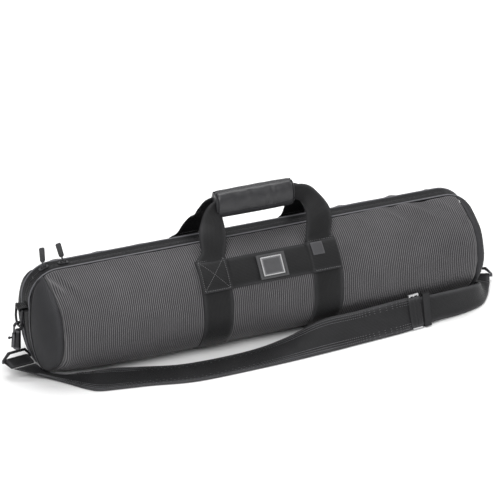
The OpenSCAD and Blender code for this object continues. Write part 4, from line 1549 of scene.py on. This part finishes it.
def make_pulls():
    s = sizes()
    base = Matrix.Translation((0, 0, s.axis_height)) @ Matrix.Rotation(-s.zip_roll, 4, "X")
    bend_x = s.seam_distance - ZIP_BEND_START
    bend_w = s.zip_radius - s.zip_bend
    lean = math.radians(LEFT_SLIDER_LEAN)
    places = {
        "right": base @ Matrix.Translation((RIGHT_SLIDER_X, 0, s.zip_radius - 0.45 * MM + PULL_PIN))
        @ Matrix.Rotation(math.radians(RIGHT_PULL_LEAN), 4, "Y"),
        "left": base @ Matrix.Translation((-bend_x, 0, bend_w)) @ Matrix.Rotation(-lean, 4, "Y")
        @ Matrix.Translation((0, 0, s.zip_bend - 0.45 * MM + PULL_PIN)) @ Matrix.Rotation(lean, 4, "Y"),
    }
    for label, place in places.items():
        outline = [(-2.4, 7.0), (2.4, 7.0), (4.2, 10.0), (4.5, 29.5), (3.2, 31.5), (-3.2, 31.5),
                   (-4.5, 29.5), (-4.2, 10.0)]
        outline = [(a * MM, b * MM) for a, b in outline]
        tab = extruded(label + "_pull_tab", outline, 3.0 * MM, place, "moulded", 0.7 * MM, 3)
        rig.ride(tab, label + "_pull")
        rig.slot(tab, "moulded")
        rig.replaces(tab, label + "_pull")
        frames = []
        for face in (-1, 1):
            for step in range(7):
                centre = place @ Vector((0, face * 1.5 * MM, (13 + step * 2.4) * MM))
                axes = [np.array(tuple(place.to_3x3() @ Vector(a)))
                        for a in ((0, 0, 1), (1, 0, 0), (0, 1, 0))]
                frames.append((np.array(tuple(centre)), axes[0], axes[1], axes[2]))
        ridges = blocks(label + "_pull_ridges", frames, (0.6 * MM, 3.1 * MM, 0.45 * MM), "moulded")
        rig.ride(ridges, label + "_pull")
        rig.slot(ridges, "moulded")
        turns = np.linspace(0, 2 * math.pi, 25)[:-1]
        loop = [place @ Vector((0, 3.0 * MM * math.sin(a), 4.5 * (1 - math.cos(a)) * MM))
                for a in turns]
        loop.append(loop[0])
        wire = tube(label + "_pull_wire", [tuple(p) for p in loop], 0.75 * MM, "dark_metal", 10)
        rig.ride(wire, label + "_pull")
        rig.slot(wire, "dark_metal")


def make_hardware():
    for end in ("left", "right"):
        dress(end + "_d_ring", "dark_metal")
        dress(end + "_hook", "dark_metal", 0.3 * MM)
        dress(end + "_gate", "dark_metal")
        dress(end + "_swivel", "dark_metal", 0.4 * MM)
        dress(end + "_slider", "dark_metal", 0.35 * MM)
    dress("tri_glide", "bright_metal", 0.5 * MM)
    dress("strap_keeper", "webbing", 0.6 * MM)


GLIDE_MIDDLE = (242, -105, 29.5)
GLIDE_TURN = 7
GLIDE_TILT = -18


def make_glide_wrap():
    """The strap's ends, folded round the glide's bars so that only its top edge shows."""
    place = (Matrix.Translation([v * MM for v in GLIDE_MIDDLE])
             @ Matrix.Rotation(math.radians(GLIDE_TURN), 4, "Z")
             @ Matrix.Rotation(math.radians(GLIDE_TILT), 4, "X"))
    heights = np.linspace(-26.5, 24.5, 11) * MM
    outline = [(-11.5, -1.2), (-9.5, -3.2), (-3.0, -3.6), (0.0, -3.0), (3.0, -3.6), (9.5, -3.2),
               (11.5, -1.2)]
    outline = even_line([(a * MM, b * MM) for a, b in outline], 30)
    grid = np.array([[tuple(place @ Vector((a, b, c))) for c in heights] for a, b in outline])
    uv = np.array([[(point[0], c) for c in heights] for point in outline])
    outward = lambda point: np.array([0.0, -1.0, 0.3])
    piece = slab("glide_wrap", grid, 1.4 * MM, uv, "strap", outward)
    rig.ride(piece, "case")
    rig.slot(piece, "webbing")


# The floor in metres: half its width, the flat part's radius, and how steeply the rest rises.
FLOOR_REACH = 6.0
FLOOR_FLAT = 3.0
FLOOR_RISE = 0.05
# Each soft lamp: its name, its place, its power beside the main one, and its size.
LAMPS = [("key", (-1.6, -2.4, 3.0), 1.0, 1.8), ("top", (0.4, 0.6, 3.2), 0.9, 2.4),
         ("right", (2.8, -1.2, 1.6), 0.3, 1.6)]


def make_stage():
    stage = bpy.context.scene.carry_case_stage
    scene = bpy.context.scene
    ground = CAD_BOX[0][2]
    line = np.linspace(-FLOOR_REACH, FLOOR_REACH, 41)
    points = []
    for y in line:
        for x in line:
            far = max(0.0, math.hypot(x, y) - FLOOR_FLAT)
            points.append((x, y, ground - 0.2 * MM + FLOOR_RISE * far ** 2))
    floor = add_piece("floor", points, grid_faces(len(line), len(line)), "floor")
    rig.stage(floor)
    away = Vector((-math.sin(stage.azimuth) * math.cos(stage.elevation),
                   -math.cos(stage.azimuth) * math.cos(stage.elevation), math.sin(stage.elevation)))
    right = Vector((math.cos(stage.azimuth), -math.sin(stage.azimuth), 0))
    up = Vector((math.sin(stage.azimuth) * math.sin(stage.elevation),
                 math.cos(stage.azimuth) * math.sin(stage.elevation), math.cos(stage.elevation)))
    aim = Vector((0, 0, sizes().axis_height)) + right * stage.shift_right + up * stage.shift_up
    data = bpy.data.cameras.new("camera")
    data.lens = stage.focal
    data.sensor_width = 36.0
    data.clip_end = 50.0
    camera = bpy.data.objects.new("camera", data)
    camera.location = aim + away * stage.distance
    camera.rotation_euler = away.to_track_quat("Z", "Y").to_euler()
    scene.collection.objects.link(camera)
    scene.camera = camera
    world = bpy.data.worlds.new("soft studio")
    scene.world = world
    world.use_nodes = True
    sky = world.node_tree.nodes["Background"]
    sky.inputs[0].default_value = (1.0, 1.0, 1.0, 1.0)
    sky.inputs[1].default_value = stage.sky
    scene.view_settings.view_transform = "Standard"
    for label, place, power, size in LAMPS:
        lamp = bpy.data.lights.new(label, "AREA")
        lamp.energy = stage.key * power
        lamp.size = size
        lamp_object = bpy.data.objects.new(label, lamp)
        lamp_object.location = place
        towards = Vector(place) - Vector((0, 0, 0.1))
        lamp_object.rotation_euler = towards.to_track_quat("Z", "Y").to_euler()
        scene.collection.objects.link(lamp_object)


# ---- Operators ----

def piece_operator(idname, label, text, *steps):
    """An operator that runs the given making functions, and raises an error if one can't finish."""
    def execute(self, context):
        for step in steps:
            step()
        return {"FINISHED"}
    name = "CARRYCASE_OT_" + idname
    body = {"bl_idname": "carry_case." + idname, "bl_label": label, "__doc__": text,
            "bl_options": {"REGISTER", "UNDO"}, "execute": execute}
    return type(name, (bpy.types.Operator,), body)


def make_end_panels():
    for end in (LEFT, RIGHT):
        for side in (FRONT, REAR):
            end_panel(end, side)
            end_binding(end, side)


OPERATORS = [
    piece_operator("stage", "Stage", "Floor, lights and camera", make_stage),
    piece_operator("strap", "Shoulder strap", "Shoulder strap with its sewn rows", make_strap),
    piece_operator("skins", "Outer fabric", "Ribbed outer fabric in two halves", make_skins),
    piece_operator("ends", "End panels", "Half-moon end panels and strips", make_end_panels,
                   make_end_strips),
    piece_operator("padding", "Padding", "Padded lining", make_padding, make_end_padding),
    piece_operator("zip", "Zip", "Zip tapes, coils, piping and seams", make_zip),
    piece_operator("bands", "Bands", "Webbing bands, cross strap and their stitching", make_bands,
                   make_cross_strap, make_sewn_boxes, make_size_patch),
    piece_operator("badge", "Badge", "Blank badge with its metal frame", make_badge),
    piece_operator("handles", "Handles", "Webbing handles", make_handles),
    piece_operator("grip", "Grip", "Padded grip", make_grip),
    piece_operator("fittings", "Fittings", "Ring tabs, folds, pulls and metal fittings",
                   make_ring_tabs, make_folds, make_pulls, make_hardware, make_glide_wrap),
]


class CARRYCASE_PT_pieces(bpy.types.Panel):
    """Lists the operators that build the carry case"""
    bl_idname = "CARRYCASE_PT_pieces"
    bl_label = "Carry case"
    bl_space_type = "VIEW_3D"
    bl_region_type = "UI"
    bl_category = "Carry case"

    def draw(self, context):
        for operator in OPERATORS:
            self.layout.operator(operator.bl_idname)
        for group in ("sizes", "colours", "stage"):
            box = self.layout.box()
            values = getattr(context.scene, "carry_case_" + group)
            for key in values.__annotations__:
                box.prop(values, key)


GROUPS = {"carry_case_sizes": CarryCaseSizes, "carry_case_colours": CarryCaseColours,
          "carry_case_stage": CarryCaseStage}


def register():
    for group in GROUPS.values():
        bpy.utils.register_class(group)
    for name, group in GROUPS.items():
        setattr(bpy.types.Scene, name, PointerProperty(type=group))
    for operator in OPERATORS:
        bpy.utils.register_class(operator)
    bpy.utils.register_class(CARRYCASE_PT_pieces)


def unregister():
    bpy.utils.unregister_class(CARRYCASE_PT_pieces)
    for operator in reversed(OPERATORS):
        bpy.utils.unregister_class(operator)
    for name in GROUPS:
        delattr(bpy.types.Scene, name)
    for group in reversed(list(GROUPS.values())):
        bpy.utils.unregister_class(group)


def main():
    register()
    for operator in OPERATORS:
        getattr(bpy.ops.carry_case, operator.bl_idname.split(".")[1])()
    with open("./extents.json", "w") as out:
        json.dump({"cad": CAD_BOX, "visual": [list(corner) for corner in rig.bounds()]}, out)


if __name__ == "__main__":
    main()
